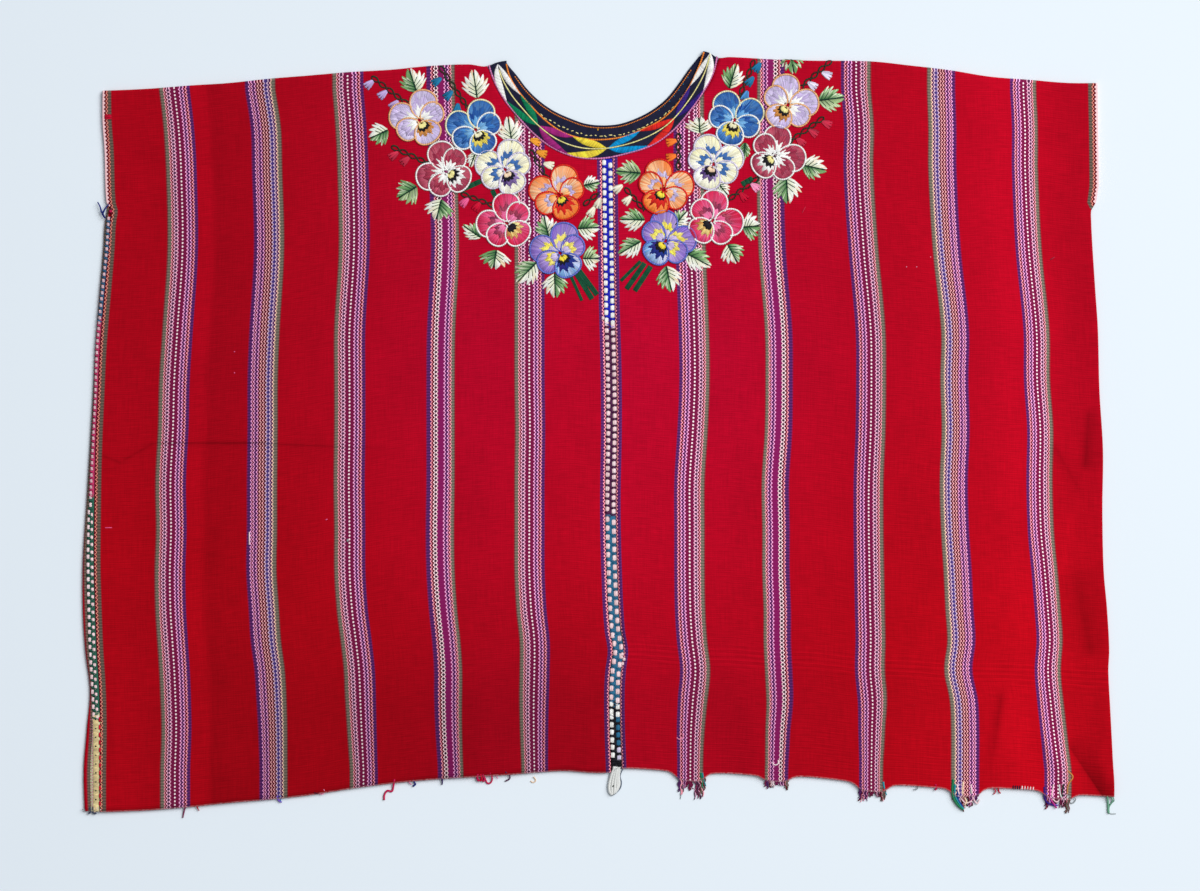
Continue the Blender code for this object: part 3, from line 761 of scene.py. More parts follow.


# painted shade of sharp folds and creases that the mesh is too coarse to carry; a negative darkness is a
# painted highlight. start across and up, end across and up, darkness at either end, how far that reaches to
# the left and to the right of the line
PAINTED_FOLD_SHADES = (
    (317.0, 99.0, 308.0, 36.0, 0.36, 0.02, 3.2, 3.0),
    (366.0, 56.8, 397.5, 10.0, 0.24, 0.56, 0.8, 12.0),
    (396.0, 120.0, 392.0, 20.0, 0.05, 0.08, 24.0, 3.0),
    (356.0, 292.0, 376.0, 256.0, 0.26, 0.18, 5.0, 3.0),
    (385.0, 320.0, 382.0, 276.0, 0.24, 0.40, 3.0, 7.0),
    (373.0, 196.0, 385.0, 132.0, 0.16, 0.32, 6.0, 11.0),
    (372.0, 240.0, 363.0, 190.0, -0.10, -0.08, 5.0, 5.0),
    (-356.0, 290.5, -276.0, 290.7, 0.44, 0.50, 0.9, 0.8),
    (-276.0, 290.7, -184.0, 287.0, 0.34, 0.18, 0.9, 0.8),
    (-394.0, 281.7, -379.0, 275.8, 0.18, 0.26, 1.2, 1.2),
    (-377.0, 275.8, -354.0, 289.0, 0.26, 0.20, 1.2, 1.2),
)
RAW_EDGE = (244, 190, 196)     # fluff on the cut edge of the hem, as display red, green and blue
RAW_EDGE_DEPTH = 1.3
FOLD_FADE = 6.0           # a sharp fold's painted shade comes and goes within its length over this
FOLD_OVERRUN = 1.2        # share of its length at which it has gone
# width and length of patches in the dye, detail, least and greatest tone: streaks of the warp,
# lines of the weft and broad clouds
DYE_PATCHES = (
    (0.9, 22.0, 3.0, 0.80, 1.20),
    (13.0, 1.1, 2.0, 0.74, 1.26),
    (45.0, 60.0, 3.0, 0.88, 1.12),
)
FLUFF_PATCH = 1.6
FLUFF_SPREAD = (-0.3, 1.1)
RIB_TROUGH = -0.4         # the ribs' shade goes no lower
RIB_SHADE = 0.13
COARSE_SHADE = 0.05
WEFT_SHARE = 0.7          # of the weave's relief
WARP_SHARE = 0.5
BETWEEN_THREADS = (0.93, 1.02)    # painted shade between the threads, and tone on them


def painted_fold_shade(shades, x, y, x0, y0, x1, y1, first, last, left, right):
    """Painted shade of a sharp fold at a place: darkest on its line, fading to either side; a negative
    darkness paints a highlight.
    """
    length = math.hypot(x1 - x0, y1 - y0)
    ahead = ((x1 - x0) / length, (y1 - y0) / length)
    from_x, from_y = shades.math("SUBTRACT", x, x0), shades.math("SUBTRACT", y, y0)
    along = shades.math("MULTIPLY", from_y, ahead[1] / length)
    along = shades.math("MULTIPLY_ADD", from_x, ahead[0] / length, along)
    across = shades.math("MULTIPLY", from_y, ahead[0])
    across = shades.math("MULTIPLY_ADD", from_x, -ahead[1], across)
    to_right = shades.math("DIVIDE", shades.math("MAXIMUM", across, 0.0), right)
    to_left = shades.math("DIVIDE", shades.math("MAXIMUM", shades.math("MULTIPLY", across, -1.0), 0.0), left)
    away = shades.math("ADD", to_right, to_left)
    depth = shades.math("EXPONENT", shades.math("MULTIPLY", away, -1.0))
    amount = shades.math("MULTIPLY_ADD", along, last - first, first)
    shown = shades.math("MULTIPLY", shades.spread(shades.math("MULTIPLY", along, FOLD_FADE), 0.0, 1.0),
                        shades.spread(shades.math("MULTIPLY_ADD", along, -FOLD_FADE,
                                                  FOLD_FADE * FOLD_OVERRUN), 0.0, 1.0))
    return shades.math("MULTIPLY", shades.math("MULTIPLY", amount, shown), depth)


def loom_cloth(settings):
    """Warp-striped cotton. Its places on the loom come with the cloth, across and along in millimetres."""
    shades = Shades("striped_loom_cloth", roughness=0.95)
    across, along, dye = shades.split(shades.attribute("loom").outputs["Vector"])
    tone = 1.0
    for wide, long, detail, low, high in DYE_PATCHES:
        patches = shades.patches(across, along, wide, long, detail)
        tone = shades.math("MULTIPLY", tone, shades.spread(patches, low, high))
    rib_band, coarse, from_hem = shades.split(shades.attribute("marks").outputs["Vector"])
    bluer = shades.join(1.0, 1.0, shades.attribute("blueness").outputs["Fac"])
    ground = shades.mix(1.0, setting_paint(settings.ground), bluer, "MULTIPLY")
    ground = shades.scaled(ground, tone)
    colour = striped(shades, ground, across, along)
    # dye here is the dye's depth with the painted shade towards the front hem in it
    colour = shades.scaled(colour, dye)
    fluff = shades.patches(across, along, FLUFF_PATCH, FLUFF_PATCH, 1.0)
    from_edge = shades.math("DIVIDE", shades.math("ABSOLUTE", from_hem), RAW_EDGE_DEPTH)
    raw_edge = shades.math("SUBTRACT", 1.0, from_edge)
    raw_edge = shades.math("MAXIMUM", raw_edge, 0.0)
    fluff = shades.math("MULTIPLY", raw_edge, shades.spread(fluff, *FLUFF_SPREAD))
    fluff = shades.math("MAXIMUM", fluff, 0.0)
    colour = shades.mix(fluff, colour, paint(*RAW_EDGE))
    ribs = shades.math("MAXIMUM", shades.ripple(along, RIB_PITCH), RIB_TROUGH)
    shade = shades.math("MULTIPLY", shades.math("MULTIPLY", ribs, rib_band), RIB_SHADE)
    fine = shades.ripple(along, COARSE_PITCH)
    shade = shades.math("MULTIPLY_ADD", shades.math("MULTIPLY", fine, coarse), COARSE_SHADE, shade)
    # painted shade and painted highlights of the sharp folds, on the front layer only
    x, y, outside = shades.split(shades.attribute("laid").outputs["Vector"])
    for fold in PAINTED_FOLD_SHADES:
        dark = shades.math("MULTIPLY", painted_fold_shade(shades, x, y, *fold), outside)
        shade = shades.math("SUBTRACT", shade, dark)
    colour = shades.scaled(colour, shades.math("ADD", shade, 1.0))
    warp_threads = shades.ripple(across, settings.warp_pitch / METRES)
    weft_threads = shades.ripple(along, settings.weft_pitch / METRES)
    warp_relief = shades.math("MULTIPLY", warp_threads, WARP_SHARE)
    weave = shades.math("MULTIPLY_ADD", weft_threads, WEFT_SHARE, warp_relief)
    # painted shade in the weave's hollows, following the weave's relief
    between = shades.spread(weave, *BETWEEN_THREADS)
    shades.colour(shades.scaled(colour, between))
    shades.bump(weave, settings.weave_relief)
    return shades.material


TWIST_ALONG = 7.5         # how fast a thread's twist turns, for each millimetre
TWIST_ACROSS = 3.0
# painted shade in the grooves of a thread's twist, following the twist's relief
TWIST_SHADE = (0.95, 1.03)
TWIST_RELIEF = 0.00005
FUZZ_SCALE = 3.0
FUZZ_SHADE = (0.86, 1.12)


def thread_material(name, roughness=0.6, specular=0.15):
    """Embroidery cotton: each stitch brings its own colour and its places along and across the thread."""
    shades = Shades(name, roughness, specular)
    colour = shades.attribute("thread_colour").outputs["Color"]
    along, across, number = shades.split(shades.attribute("thread").outputs["Vector"])
    twist = shades.math("MULTIPLY_ADD", across, TWIST_ACROSS, number)
    twist = shades.math("SINE", shades.math("MULTIPLY_ADD", along, TWIST_ALONG, twist))
    fuzz = shades.noise(shades.join(along, across, number), FUZZ_SCALE, 3.0)
    # painted shade of the twist's grooves, times random fuzz
    tone = shades.math("MULTIPLY", shades.spread(twist, *TWIST_SHADE), shades.spread(fuzz, *FUZZ_SHADE))
    shades.colour(shades.scaled(colour, tone))
    shades.bump(twist, TWIST_RELIEF)
    return shades.material


# ---- the two loom widths ----
def side_shape(side, front, heights):
    """For rows at these heights: the edge, where the flat layer ends, the open edge and the share of it."""
    edge = left_edge(heights) if side < 0 else right_edge(heights)
    if side < 0:
        flat = left_selvedge(heights)
    else:
        flat = edge - roll_depth(edge, heights) - ROLL - UNDER_SEAM - 2 * GAP
    above = np.clip((heights - ARMHOLE_FOOT) / NOTCH, 0.0, 1.0)
    upper = edge - side * (0.0 if front else BACK_NARROWER)
    return edge, flat * (1 - above) + upper * above, upper, above


def roll_depth(x, y):
    """Half of the height of the cloth that is rolled round a side edge."""
    return 0.5 * (front_level(x, y) - BACK_LEVEL) + 0.5 * WALL


def sections(side, front, fraction, x_inner, columns, edge_columns):
    """Rows of a layer: points in the middle of the cloth, the outward directions and the loom places."""
    fraction, x_inner = fraction[:, None], x_inner[:, None]
    up = 1.0 if front else -1.0

    def height_at(x):
        foot = hem(x) + (0.0 if front else BACK_SHORTER)
        return foot + fraction * (fold_start(x) - foot)

    def level(x, y):
        return front_level(x, y) if front else np.full(np.shape(x), BACK_LEVEL)

    y_side = height_at(side * SIDE_REACH)
    edge, flat_end, upper, above = side_shape(side, front, y_side)
    rolls = front == (side > 0)
    reach = roll_depth(edge, y_side)
    if rolls:
        x_flat = (edge - side * reach) * (1 - above) + (upper - side * FLAT_EDGE) * above
    else:
        x_flat = flat_end - side * FLAT_EDGE
    steps = np.linspace(0.0, 1.0, columns + 1)[None, :]
    x = x_inner + (x_flat - x_inner) * steps
    y = height_at(x)
    middle = np.stack([x, y, level(x, y)], axis=-1)
    normal = np.zeros_like(middle)
    normal[..., 2] = up
    tail = np.linspace(0.0, 1.0, edge_columns + 1)[None, 1:]
    y_end = height_at(x_flat)
    plain_x = x_flat + side * FLAT_EDGE * tail
    plain_y = np.broadcast_to(y_end, plain_x.shape)
    plain = np.stack([plain_x, plain_y, level(plain_x, plain_y)], axis=-1)
    plain_normal = np.zeros_like(plain)
    plain_normal[..., 2] = up
    if rolls:
        rolled, rolled_normal = side_roll(side, front, x_flat, y_end, y_side, edge_columns)
        blend = above[..., None]
        plain = rolled * (1 - blend) + plain * blend
        plain_normal = rolled_normal * (1 - blend) + plain_normal * blend
        plain_normal /= np.linalg.norm(plain_normal, axis=-1, keepdims=True)
    middle = np.concatenate([middle, plain], axis=1)
    normal = np.concatenate([normal, plain_normal], axis=1)
    return middle, normal, loom_places(side, front, fraction, middle, columns, above)


def side_roll(side, front, x_flat, y_end, y_side, count):
    """The cloth turned round a side edge: an arc and the length that lies beyond it."""
    up = 1.0 if front else -1.0
    near = front_level(x_flat, y_end) if front else BACK_LEVEL
    far = BACK_LEVEL if front else front_level(x_flat, y_end)
    middle, radius = 0.5 * (near + far), 0.5 * np.abs(near - far)
    turn = np.interp(y_side, (ROLL_END, ARMHOLE_FOOT), (180.0, 90.0))
    steps = np.linspace(0.0, 1.0, count)[None, 1:]
    phi = np.radians(turn) * steps
    arc = np.stack([
        x_flat + side * radius * np.sin(phi),
        np.broadcast_to(y_end, phi.shape),
        middle + up * radius * np.cos(phi),
    ], axis=-1)
    arc_normal = np.stack([side * np.sin(phi), np.zeros_like(phi), up * np.cos(phi)], axis=-1)
    length = np.full(np.shape(y_side), ROLL) if side > 0 else left_turned(y_side)
    length = np.maximum(length, LEAST_TURNED) * np.clip((turn - 90.0) / 90.0, 0.1, 1.0)
    end = arc[:, -1:] + np.stack([
        -side * length * np.sin(np.radians(turn - 90.0)),
        np.zeros_like(length),
        -up * length * np.cos(np.radians(turn - 90.0)),
    ], axis=-1)
    end[..., 2] = np.maximum(end[..., 2], far) if front else np.minimum(end[..., 2], far)
    return np.concatenate([arc, end], axis=1), np.concatenate([arc_normal, arc_normal[:, -1:]], axis=1)


SELVEDGE_HIDDEN = 2.2     # of the front's selvedge, under the side seam
TURNED_HIDDEN = 5.6       # of the back's selvedge, under the side seam
TURNED_UNDER = 4.0        # of the right width, turned under along its side
FRONT_LENGTH = 500.0      # of warp, from the front hem, that certainly lies on the front


def loom_places(side, front, fraction, middle, columns, above):
    """Distance on the loom from the inner selvedge, and along the warp from the front hem."""
    x, y = middle[..., 0], middle[..., 1]
    steps = np.linalg.norm(np.diff(middle, axis=1), axis=-1)
    travelled = np.concatenate([np.zeros((len(x), 1)), np.cumsum(steps, axis=1)], axis=1)
    bands = left_bands if side < 0 else right_bands
    widths = LEFT_BAND_WIDTHS if side < 0 else RIGHT_BAND_WIDTHS
    lines = [side * centre_line(y) + 0.5 * SEAM_WIDTH + GAP]
    places = [0.0]
    for band, width, place, stripes in zip(bands, widths, BAND_PLACES, BAND_STRIPES):
        half = 0.5 * np.interp(y, GATHERED_BELOW, width)
        lines += [side * band(y) - half, side * band(y) + half]
        places += [place - 0.5 * stripes[-1][0], place + 0.5 * stripes[-1][0]]
    across = np.zeros_like(x)
    for k in range(len(lines) - 1):
        share = (side * x - lines[k]) / (lines[k + 1] - lines[k])
        here = (share >= 0) if k else np.ones_like(x, bool)
        across = np.where(here, places[k] + share * (places[k + 1] - places[k]), across)
    past = side * x - lines[-1]
    flat = slice(0, columns + 1)
    passed = [np.interp(0.0, row_past[flat], row[flat]) for row_past, row in zip(past, travelled)]
    beyond = travelled - np.array(passed)[:, None]
    whole = beyond[:, -1:]
    if front and side > 0:
        hidden = (LOOM_WIDTH - places[-1] - whole + TURNED_UNDER) * (1 - above)
    else:
        hidden = (1 - above) * (0.0 if side > 0 else SELVEDGE_HIDDEN if front else TURNED_HIDDEN)
    last = LOOM_WIDTH - places[-1] - hidden
    across = np.where(beyond > 0, places[-1] + beyond * last / whole, across)
    warp = fraction * (fold_start(x) - hem(x)) + hem(x) - plain_hem(x)
    warp = np.broadcast_to(warp, x.shape)
    if not front:
        warp = 2 * (fold_start(x) - hem(x)) - warp
    # the tone is the dye's depth times a painted shade that darkens the front towards its hem
    start, full = HEM_SHADE_BELOW
    low = np.clip((start - warp) / (start - full), 0.0, 1.0)
    tone = dye_lots[side](across) * (1.0 - hem_shade[side](across) * low ** 1.5)
    return np.stack([across, warp, tone], axis=-1)


LOW_ROW_STEP = 4.6        # spacing of a panel's rows below the neck
NECK_ROW_TURN = 2.6       # degrees between the rows beside the neck
NECK_ROW_STEP = 0.0034    # least share of a panel's height between them
COLUMNS = 118
EDGE_COLUMNS = 11
FOLD_STEPS = 8
NEAR_HEM = (-8.0, 30.0)   # lengths from the hem that the cloth's marks tell apart


def neck_corner(side, column):
    """Direction in which the joining seam's side meets an edge of the neck ribbon."""
    x = centre_line(NECK_CENTRE[1] - neck_reach[column](270.0)) + side * (0.5 * SEAM_WIDTH + GAP)
    return 270.0 + math.degrees(math.asin((x - NECK_CENTRE[0]) / neck_reach[column](270.0)))


def fraction_of(x, y, front):
    """How far a place lies from the hem to the shoulder fold, from 0 to 1."""
    foot = hem(x) + (0.0 if front else BACK_SHORTER)
    return (y - foot) / (fold_start(x) - foot)


def layer_rows(side, front):
    """Fractions of the way from hem to shoulder, and where each row starts beside seam and neck."""
    count = int((ARMHOLE_FOOT + NOTCH) / LOW_ROW_STEP)
    heights = np.unique(np.concatenate([
        np.linspace(0.0, ARMHOLE_FOOT + NOTCH, count), (ROLL_END, ARMHOLE_FOOT),
    ]))
    low = np.maximum(fraction_of(side * SIDE_REACH, heights, front), 0.0)
    low = np.unique(low)
    foot = hem(0.0)
    y_low = foot + low * (fold_start(side * NECK[0][1]) - foot)
    x_low = centre_line(y_low) + side * (0.5 * SEAM_WIDTH + GAP)
    column = FRONT_OUTER if front else BACK_OUTER
    corner = neck_corner(side, column)
    tip = NECK[0][0] if side < 0 else NECK[-1][0]
    angles = np.linspace(corner, tip, int(abs(tip - corner) / NECK_ROW_TURN))
    x_neck, y_neck = neck_point(angles[:-1], column, GAP)
    neck = fraction_of(x_neck, y_neck, front)
    neck = np.minimum(neck, 1.0 - NECK_ROW_STEP * np.arange(len(neck), 0, -1))
    x_tip, _ = neck_point(angles[-1], FRONT_OUTER, GAP)
    return (np.concatenate([low[low < neck[0] - 0.001], neck, [1.0]]),
            np.concatenate([x_low[low < neck[0] - 0.001], x_neck, [x_tip]]))


def layer(side, front):
    """The front or the back layer of one width, as sections gives it."""
    fraction, x_inner = layer_rows(side, front)
    return sections(side, front, fraction, x_inner, COLUMNS, EDGE_COLUMNS)


def weft_marks(side, along, from_hem):
    """How much the weft stands out, in a band of ribs and near the hem, and the length from the cut edge."""
    low, high = RIB_BAND
    rib_band = np.clip((along - low) / RIB_BAND_FADE, 0.0, 1.0)
    rib_band = rib_band * np.clip((high - along) / RIB_BAND_FADE, 0.0, 1.0)
    start, full = COARSE_BELOW
    coarse = np.clip((start - along) / (start - full), 0.0, 1.0)
    share = 1.0 if side > 0 else LEFT_COARSE_SHARE
    return np.stack([rib_band * (side > 0), coarse * share, np.clip(from_hem, *NEAR_HEM)], axis=-1)


def blue_share(side, loom):
    """How blue the red is, at places on the loom."""
    start, full = LESS_BLUE_BELOW
    lost = LESS_BLUE * np.clip((start - loom[..., 1]) / (start - full), 0.0, 1.0)
    return np.maximum(blueness[side](loom[..., 0]) * (1.0 - lost), LEAST_BLUE)


def loom_width(name, side, material):
    """One loom width from the front hem over the shoulder to the back hem."""
    front, back = layer(side, True), layer(side, False)
    middle, normal, loom = (part[-1] for part in front)
    turn_rows = []
    for k in range(1, FOLD_STEPS):
        psi = math.pi * k / FOLD_STEPS
        radius = 0.5 * (middle[:, 2] - BACK_LEVEL)
        points = np.stack([
            middle[:, 0],
            middle[:, 1] + radius * math.sin(psi),
            BACK_LEVEL + radius * (1 + math.cos(psi)),
        ], axis=-1)
        facing = np.tile((0.0, math.sin(psi), math.cos(psi)), (len(points), 1))
        share = k / FOLD_STEPS
        places = loom * (1 - share) + back[2][-1] * share
        turn_rows.append((points, facing, places))
    stacks = []
    for k in range(3):
        folded = np.stack([row[k] for row in turn_rows])
        stacks.append(np.concatenate([front[k], folded, back[k][::-1]]))
    middle, normal, loom = stacks
    from_hem = middle[..., 1] - hem(middle[..., 0])
    rows, columns = middle.shape[:2]
    outer, inner = middle + 0.5 * WALL * normal, middle - 0.5 * WALL * normal
    points = np.concatenate([outer.reshape(-1, 3), inner.reshape(-1, 3)])
    points[:, 2] = np.maximum(points[:, 2], 0.0)
    piece = piece_from(name, points, shell_faces(rows, columns), material)
    set_vectors(piece, "loom", np.concatenate([loom.reshape(-1, 3)] * 2))
    marks = weft_marks(side, loom[..., 1], from_hem)
    set_vectors(piece, "marks", np.concatenate([marks.reshape(-1, 3)] * 2))
    laid = np.stack([middle[..., 0], middle[..., 1], loom[..., 1] < FRONT_LENGTH], axis=-1)
    set_vectors(piece, "laid", np.concatenate([laid.reshape(-1, 3)] * 2))
    set_values(piece, "blueness", np.tile(blue_share(side, loom).ravel(), 2))
    return facing_up(piece)


# ---- stitches ----
THREADS = {
    "white": (252, 252, 248),
    "petal": (250, 218, 222),
    "chalk": (222, 224, 222),
    "steel": (46, 110, 146),
    "flax": (226, 208, 156),
    "cream": (244, 238, 196),
    "ivory": (246, 238, 214),
    "straw": (244, 234, 158),
    "yellow": (246, 222, 70),
    "gold": (226, 172, 44),
    "amber": (250, 166, 52),
    "apricot": (248, 122, 44),
    "orange": (248, 142, 56),
    "tan": (208, 142, 74),
    "shell": (250, 218, 186),
    "peach": (240, 184, 132),
    "scarlet": (224, 40, 34),
    "ruby": (202, 6, 50),
    "pink": (232, 92, 146),
    "blush": (242, 148, 186),
    "rose": (200, 84, 104),
    "wine": (146, 34, 66),
    "dusk": (196, 44, 72),
    "plum": (128, 44, 84),
    "lavender": (190, 168, 218),
    "mist": (220, 212, 236),
    "violet": (118, 84, 192),
    "indigo": (54, 30, 126),
    "periwinkle": (104, 118, 206),
    "royal": (26, 30, 190),
    "cobalt": (20, 64, 146),
    "azure": (78, 146, 210),
    "primrose": (250, 240, 182),
    "cornflower": (70, 116, 182),
    "sky": (160, 206, 236),
    "cyan": (0, 152, 214),
    "teal": (34, 124, 170),
    "turquoise": (44, 146, 160),
    "emerald": (6, 132, 88),
    "leaf": (84, 152, 86),
    "pale_leaf": (176, 206, 146),
    "milk": (238, 240, 216),
    "vein": (24, 58, 46),
    "moss": (38, 60, 44),
    "bark": (68, 42, 38),
    "madder": (188, 52, 98),
    "cerise": (200, 24, 82),
    "ultramarine": (24, 36, 120),
    "pine": (22, 88, 60),
    "green": (38, 128, 84),
    "black": (26, 24, 32),
    "navy": (26, 26, 52),
    "aubergine": (86, 34, 76),
    "magenta": (168, 38, 128),
    "fuchsia": (196, 52, 138),
    "orchid": (214, 128, 182),
    "grape": (60, 36, 100),
    "dusty": (150, 158, 160),
    "dull_petal": (226, 190, 198),
    "dull_teal": (52, 96, 132),
    "dull_green": (40, 96, 78),
    "lemon": (226, 208, 96),
    "dusk_blue": (112, 122, 138),
    "slate_blue": (72, 80, 104),
    "pale_green": (112, 166, 138),
}
THREAD_ROUND = 0.32       # height of a stitch, as a share of its width
TIP_SHARE = 0.32          # most of a stitch's length that either tapering end takes
TIP_WIDTHS = 0.7          # length of that end, as a share of the stitch's width
OVER_SHOULDER = 3.0       # how far past the start of the shoulder fold embroidery goes on


def turned(points, degrees, place=(0.0, 0.0)):
    """Flat points turned about the origin and moved."""
    turn = math.radians(degrees)
    x, y = np.moveaxis(np.asarray(points, float), -1, 0)
    return np.stack([
        place[0] + x * math.cos(turn) - y * math.sin(turn),
        place[1] + x * math.sin(turn) + y * math.cos(turn),
    ], axis=-1)


def inside(points, outline):
    """Which flat points lie within a closed outline."""
    x, y = points[:, :1], points[:, 1:]
    ax, ay = outline[:, 0], outline[:, 1]
    bx, by = np.roll(ax, -1), np.roll(ay, -1)
    crosses = (ay > y) != (by > y)
    with np.errstate(divide="ignore", invalid="ignore"):
        at = ax + (y - ay) * (bx - ax) / (by - ay)
    return (np.sum(crosses & (x < at), axis=1) % 2).astype(bool)


def on_cloth(points):
    """Which flat points lie clear of the neck ribbon and not under the shoulder fold."""
    x, y = points[:, 0], points[:, 1]
    dx, dy = x - NECK_CENTRE[0], y - NECK_CENTRE[1]
    angle = np.degrees(np.arctan2(dy, dx)) % 360.0
    angle = np.where(angle < 90.0, angle + 360.0, angle)
    clear = np.hypot(dx, dy) > neck_reach[FRONT_OUTER](angle) + GAP
    return clear & (y < fold_start(x) + OVER_SHOULDER)


def wave(place, count):
    """Triangle wave from 0 to 1 with this many teeth."""
    return 1.0 - np.abs(2.0 * (place * count % 1.0) - 1.0)


class Stitches:
    """Stitches gathered for one piece; each becomes a closed spindle of cotton lying on the cloth."""

    def __init__(self, seed):
        self.rows = []
        self.random = np.random.default_rng(seed)

    def add(self, start, end, width, above, dye, uneven=0.05, end_dye=None):
        """Stitches from start to end, above the cloth by so much. Their dye may change along them."""
        start, end = np.atleast_2d(start).astype(float), np.atleast_2d(end).astype(float)
        count = len(start)
        vary = 1.0 + uneven * self.random.standard_normal((count, 1))
        dyes = []
        for shade in (dye, dye if end_dye is None else end_dye):
            shade = np.asarray(THREADS[shade] if isinstance(shade, str) else shade, float)
            dyes.append(np.broadcast_to(shade, (count, 3)) * vary)
        self.rows.append([start, end, np.broadcast_to(width, count), np.broadcast_to(above, count), *dyes])

    def leave_out(self, hidden):
        """Drop the stitches for whose ends hidden(points) is true."""
        for row in self.rows:
            keep = ~(hidden(row[0]) & hidden(row[1]))
            row[:] = [column[keep] for column in row]

    def cord(self, points, width, above, dye, overlap=1.7):
        """A line of stitches that overlap like a rope."""
        points = np.asarray(points, float)
        ahead = np.concatenate([points[1:], points[-1:]])
        ends = points + overlap * (ahead - points)
        self.add(points[:-1], ends[:-1], width, above, dye)

    def piece(self, name, material, surface=on_front):
        """All the stitches as one object, laid on a surface."""
        start, end, width, above, dye, end_dye = (np.concatenate(column) for column in zip(*self.rows))
        run = end - start
        length = np.maximum(np.linalg.norm(run, axis=1), 0.05)
        across = np.stack([-run[:, 1], run[:, 0]], axis=1) / length[:, None]
        tip = np.minimum(TIP_SHARE, TIP_WIDTHS * width / length)
        whole = np.ones_like(tip)
        along = np.stack([0 * tip, tip, tip, tip, whole - tip, whole - tip, whole - tip, whole], axis=1)
        sides = np.array([0.0, 1.0, 0.0, -1.0, 1.0, 0.0, -1.0, 0.0])
        rises = np.array([-0.3, 0.0, 1.0, 0.0, 0.0, 1.0, 0.0, -0.3])
        flat = start[:, None] + along[..., None] * run[:, None]
        flat = flat + 0.5 * (sides * width[:, None])[..., None] * across[:, None]
        over = above[:, None] + THREAD_ROUND * rises * width[:, None]
        points = surface(flat[..., 0], flat[..., 1], over).reshape(-1, 3)
        first = 8 * np.arange(len(start))[:, None, None]
        body = first + np.array([(1, 2, 5, 4), (2, 3, 6, 5), (3, 1, 4, 6)])
        tips = first + np.array([(0, 2, 1), (0, 3, 2), (0, 1, 3), (7, 4, 5), (7, 5, 6), (7, 6, 4)])
        piece = piece_from(name, points, [body.reshape(-1, 4), tips.reshape(-1, 3)], material)
        colours = np.stack([linear(dye)] * 4 + [linear(end_dye)] * 4, axis=1)
        set_colours(piece, "thread_colour", colours.reshape(-1, 4))
        number = np.broadcast_to(self.random.uniform(0.0, 6.0, (len(start), 1)), along.shape)
        places = np.stack([along * length[:, None], np.broadcast_to(sides, along.shape), number], axis=-1)
        set_vectors(piece, "thread", places)
        return piece


# ---- pansies ----
# direction, length, half width, in the order that they're worked
PETALS = (
    (134.0, 25.0, 12.4),
    (46.0, 25.0, 12.4),
    (-3.5, 20.8, 10.4),
    (183.5, 20.8, 10.4),
    (-90.0, 20.5, 12.6),
)
PETAL_CENTRE = 0.54       # of its length
PETAL_REACH = 0.46
PALER_THROAT = 0.14       # how much paler a petal's outermost zone is at its inner end
PETAL_SWEEP = 156.0       # degrees to each side of the tip that the stitches cover
RIM_SWEEP = 176.0         # and that the rim covers
RIM_STITCH = 1.7
RIM_INSET = 0.6
ZONES_END = 0.97          # share of the way from the throat to the rim
ODD_STITCHES = 0.16       # share of a petal's stitches in the thread of its other side
# rim of the back petals and of the rest, then zones outward from the throat for four petals and
# for the face petal: share of the way, thread at one side and at the other, depth of the teeth
PANSIES = {
    "lilac": (
        "peach", "peach",
        ((0.42, "white", "white", 0.26), (0.74, "mist", "lavender", 0.14), (1.0, "lavender", "mist", 0.0)),
        ((0.24, "straw", "straw", 0.03), (0.38, "black", "black", 0.14), (0.60, "tan", "tan", 0.22),
         (1.0, "mist", "lavender", 0.0)),
    ),
    "blue": (
        "cream", "white",
        ((0.38, "sky", "azure", 0.18), (0.68, "azure", "cobalt", 0.24), (1.0, "cobalt", "azure", 0.0)),
        ((0.22, "cream", "cream", 0.03), (0.38, "black", "black", 0.12), (0.62, "lemon", "lemon", 0.22),
         (1.0, "azure", "cobalt", 0.0)),
    ),
    "maroon": (
        "white", "white",
        ((0.38, "white", "white", 0.28), (0.70, "rose", "wine", 0.16), (1.0, "wine", "rose", 0.0)),
        ((0.24, "straw", "straw", 0.03), (0.44, "black", "black", 0.18), (0.66, "white", "white", 0.22),
         (1.0, "wine", "rose", 0.0)),
    ),
    "cream": (
        "mist", "mist",
        ((0.30, "white", "cream", 0.05), (0.56, "cornflower", "cornflower", 0.24),
         (1.0, "primrose", "white", 0.0)),
        ((0.22, "shell", "shell", 0.03), (0.40, "black", "black", 0.12), (0.62, "grape", "lavender", 0.24),
         (1.0, "white", "cream", 0.0)),
    ),
    "orange": (
        "scarlet", "scarlet",
        ((0.36, "orange", "shell", 0.06), (0.56, "lavender", "mist", 0.18), (1.0, "apricot", "shell", 0.0)),
        ((0.24, "yellow", "yellow", 0.03), (0.36, "black", "black", 0.10), (0.66, "scarlet", "scarlet", 0.26),
         (1.0, "orange", "apricot", 0.0)),
    ),
    "crimson": (
        "white", "white",
        ((0.36, "blush", "pink", 0.10), (0.58, "plum", "rose", 0.20), (1.0, "pink", "ruby", 0.0)),
        ((0.32, "black", "black", 0.10), (0.60, "tan", "straw", 0.22), (1.0, "ruby", "pink", 0.0)),
    ),
    "violet": (
        "periwinkle", "periwinkle",
        ((0.34, "mist", "lavender", 0.06), (0.58, "yellow", "straw", 0.20), (1.0, "lavender", "violet", 0.0)),
        ((0.24, "yellow", "yellow", 0.03), (0.40, "black", "black", 0.14), (0.66, "indigo", "cobalt", 0.24),
         (1.0, "azure", "mist", 0.0)),
    ),
}
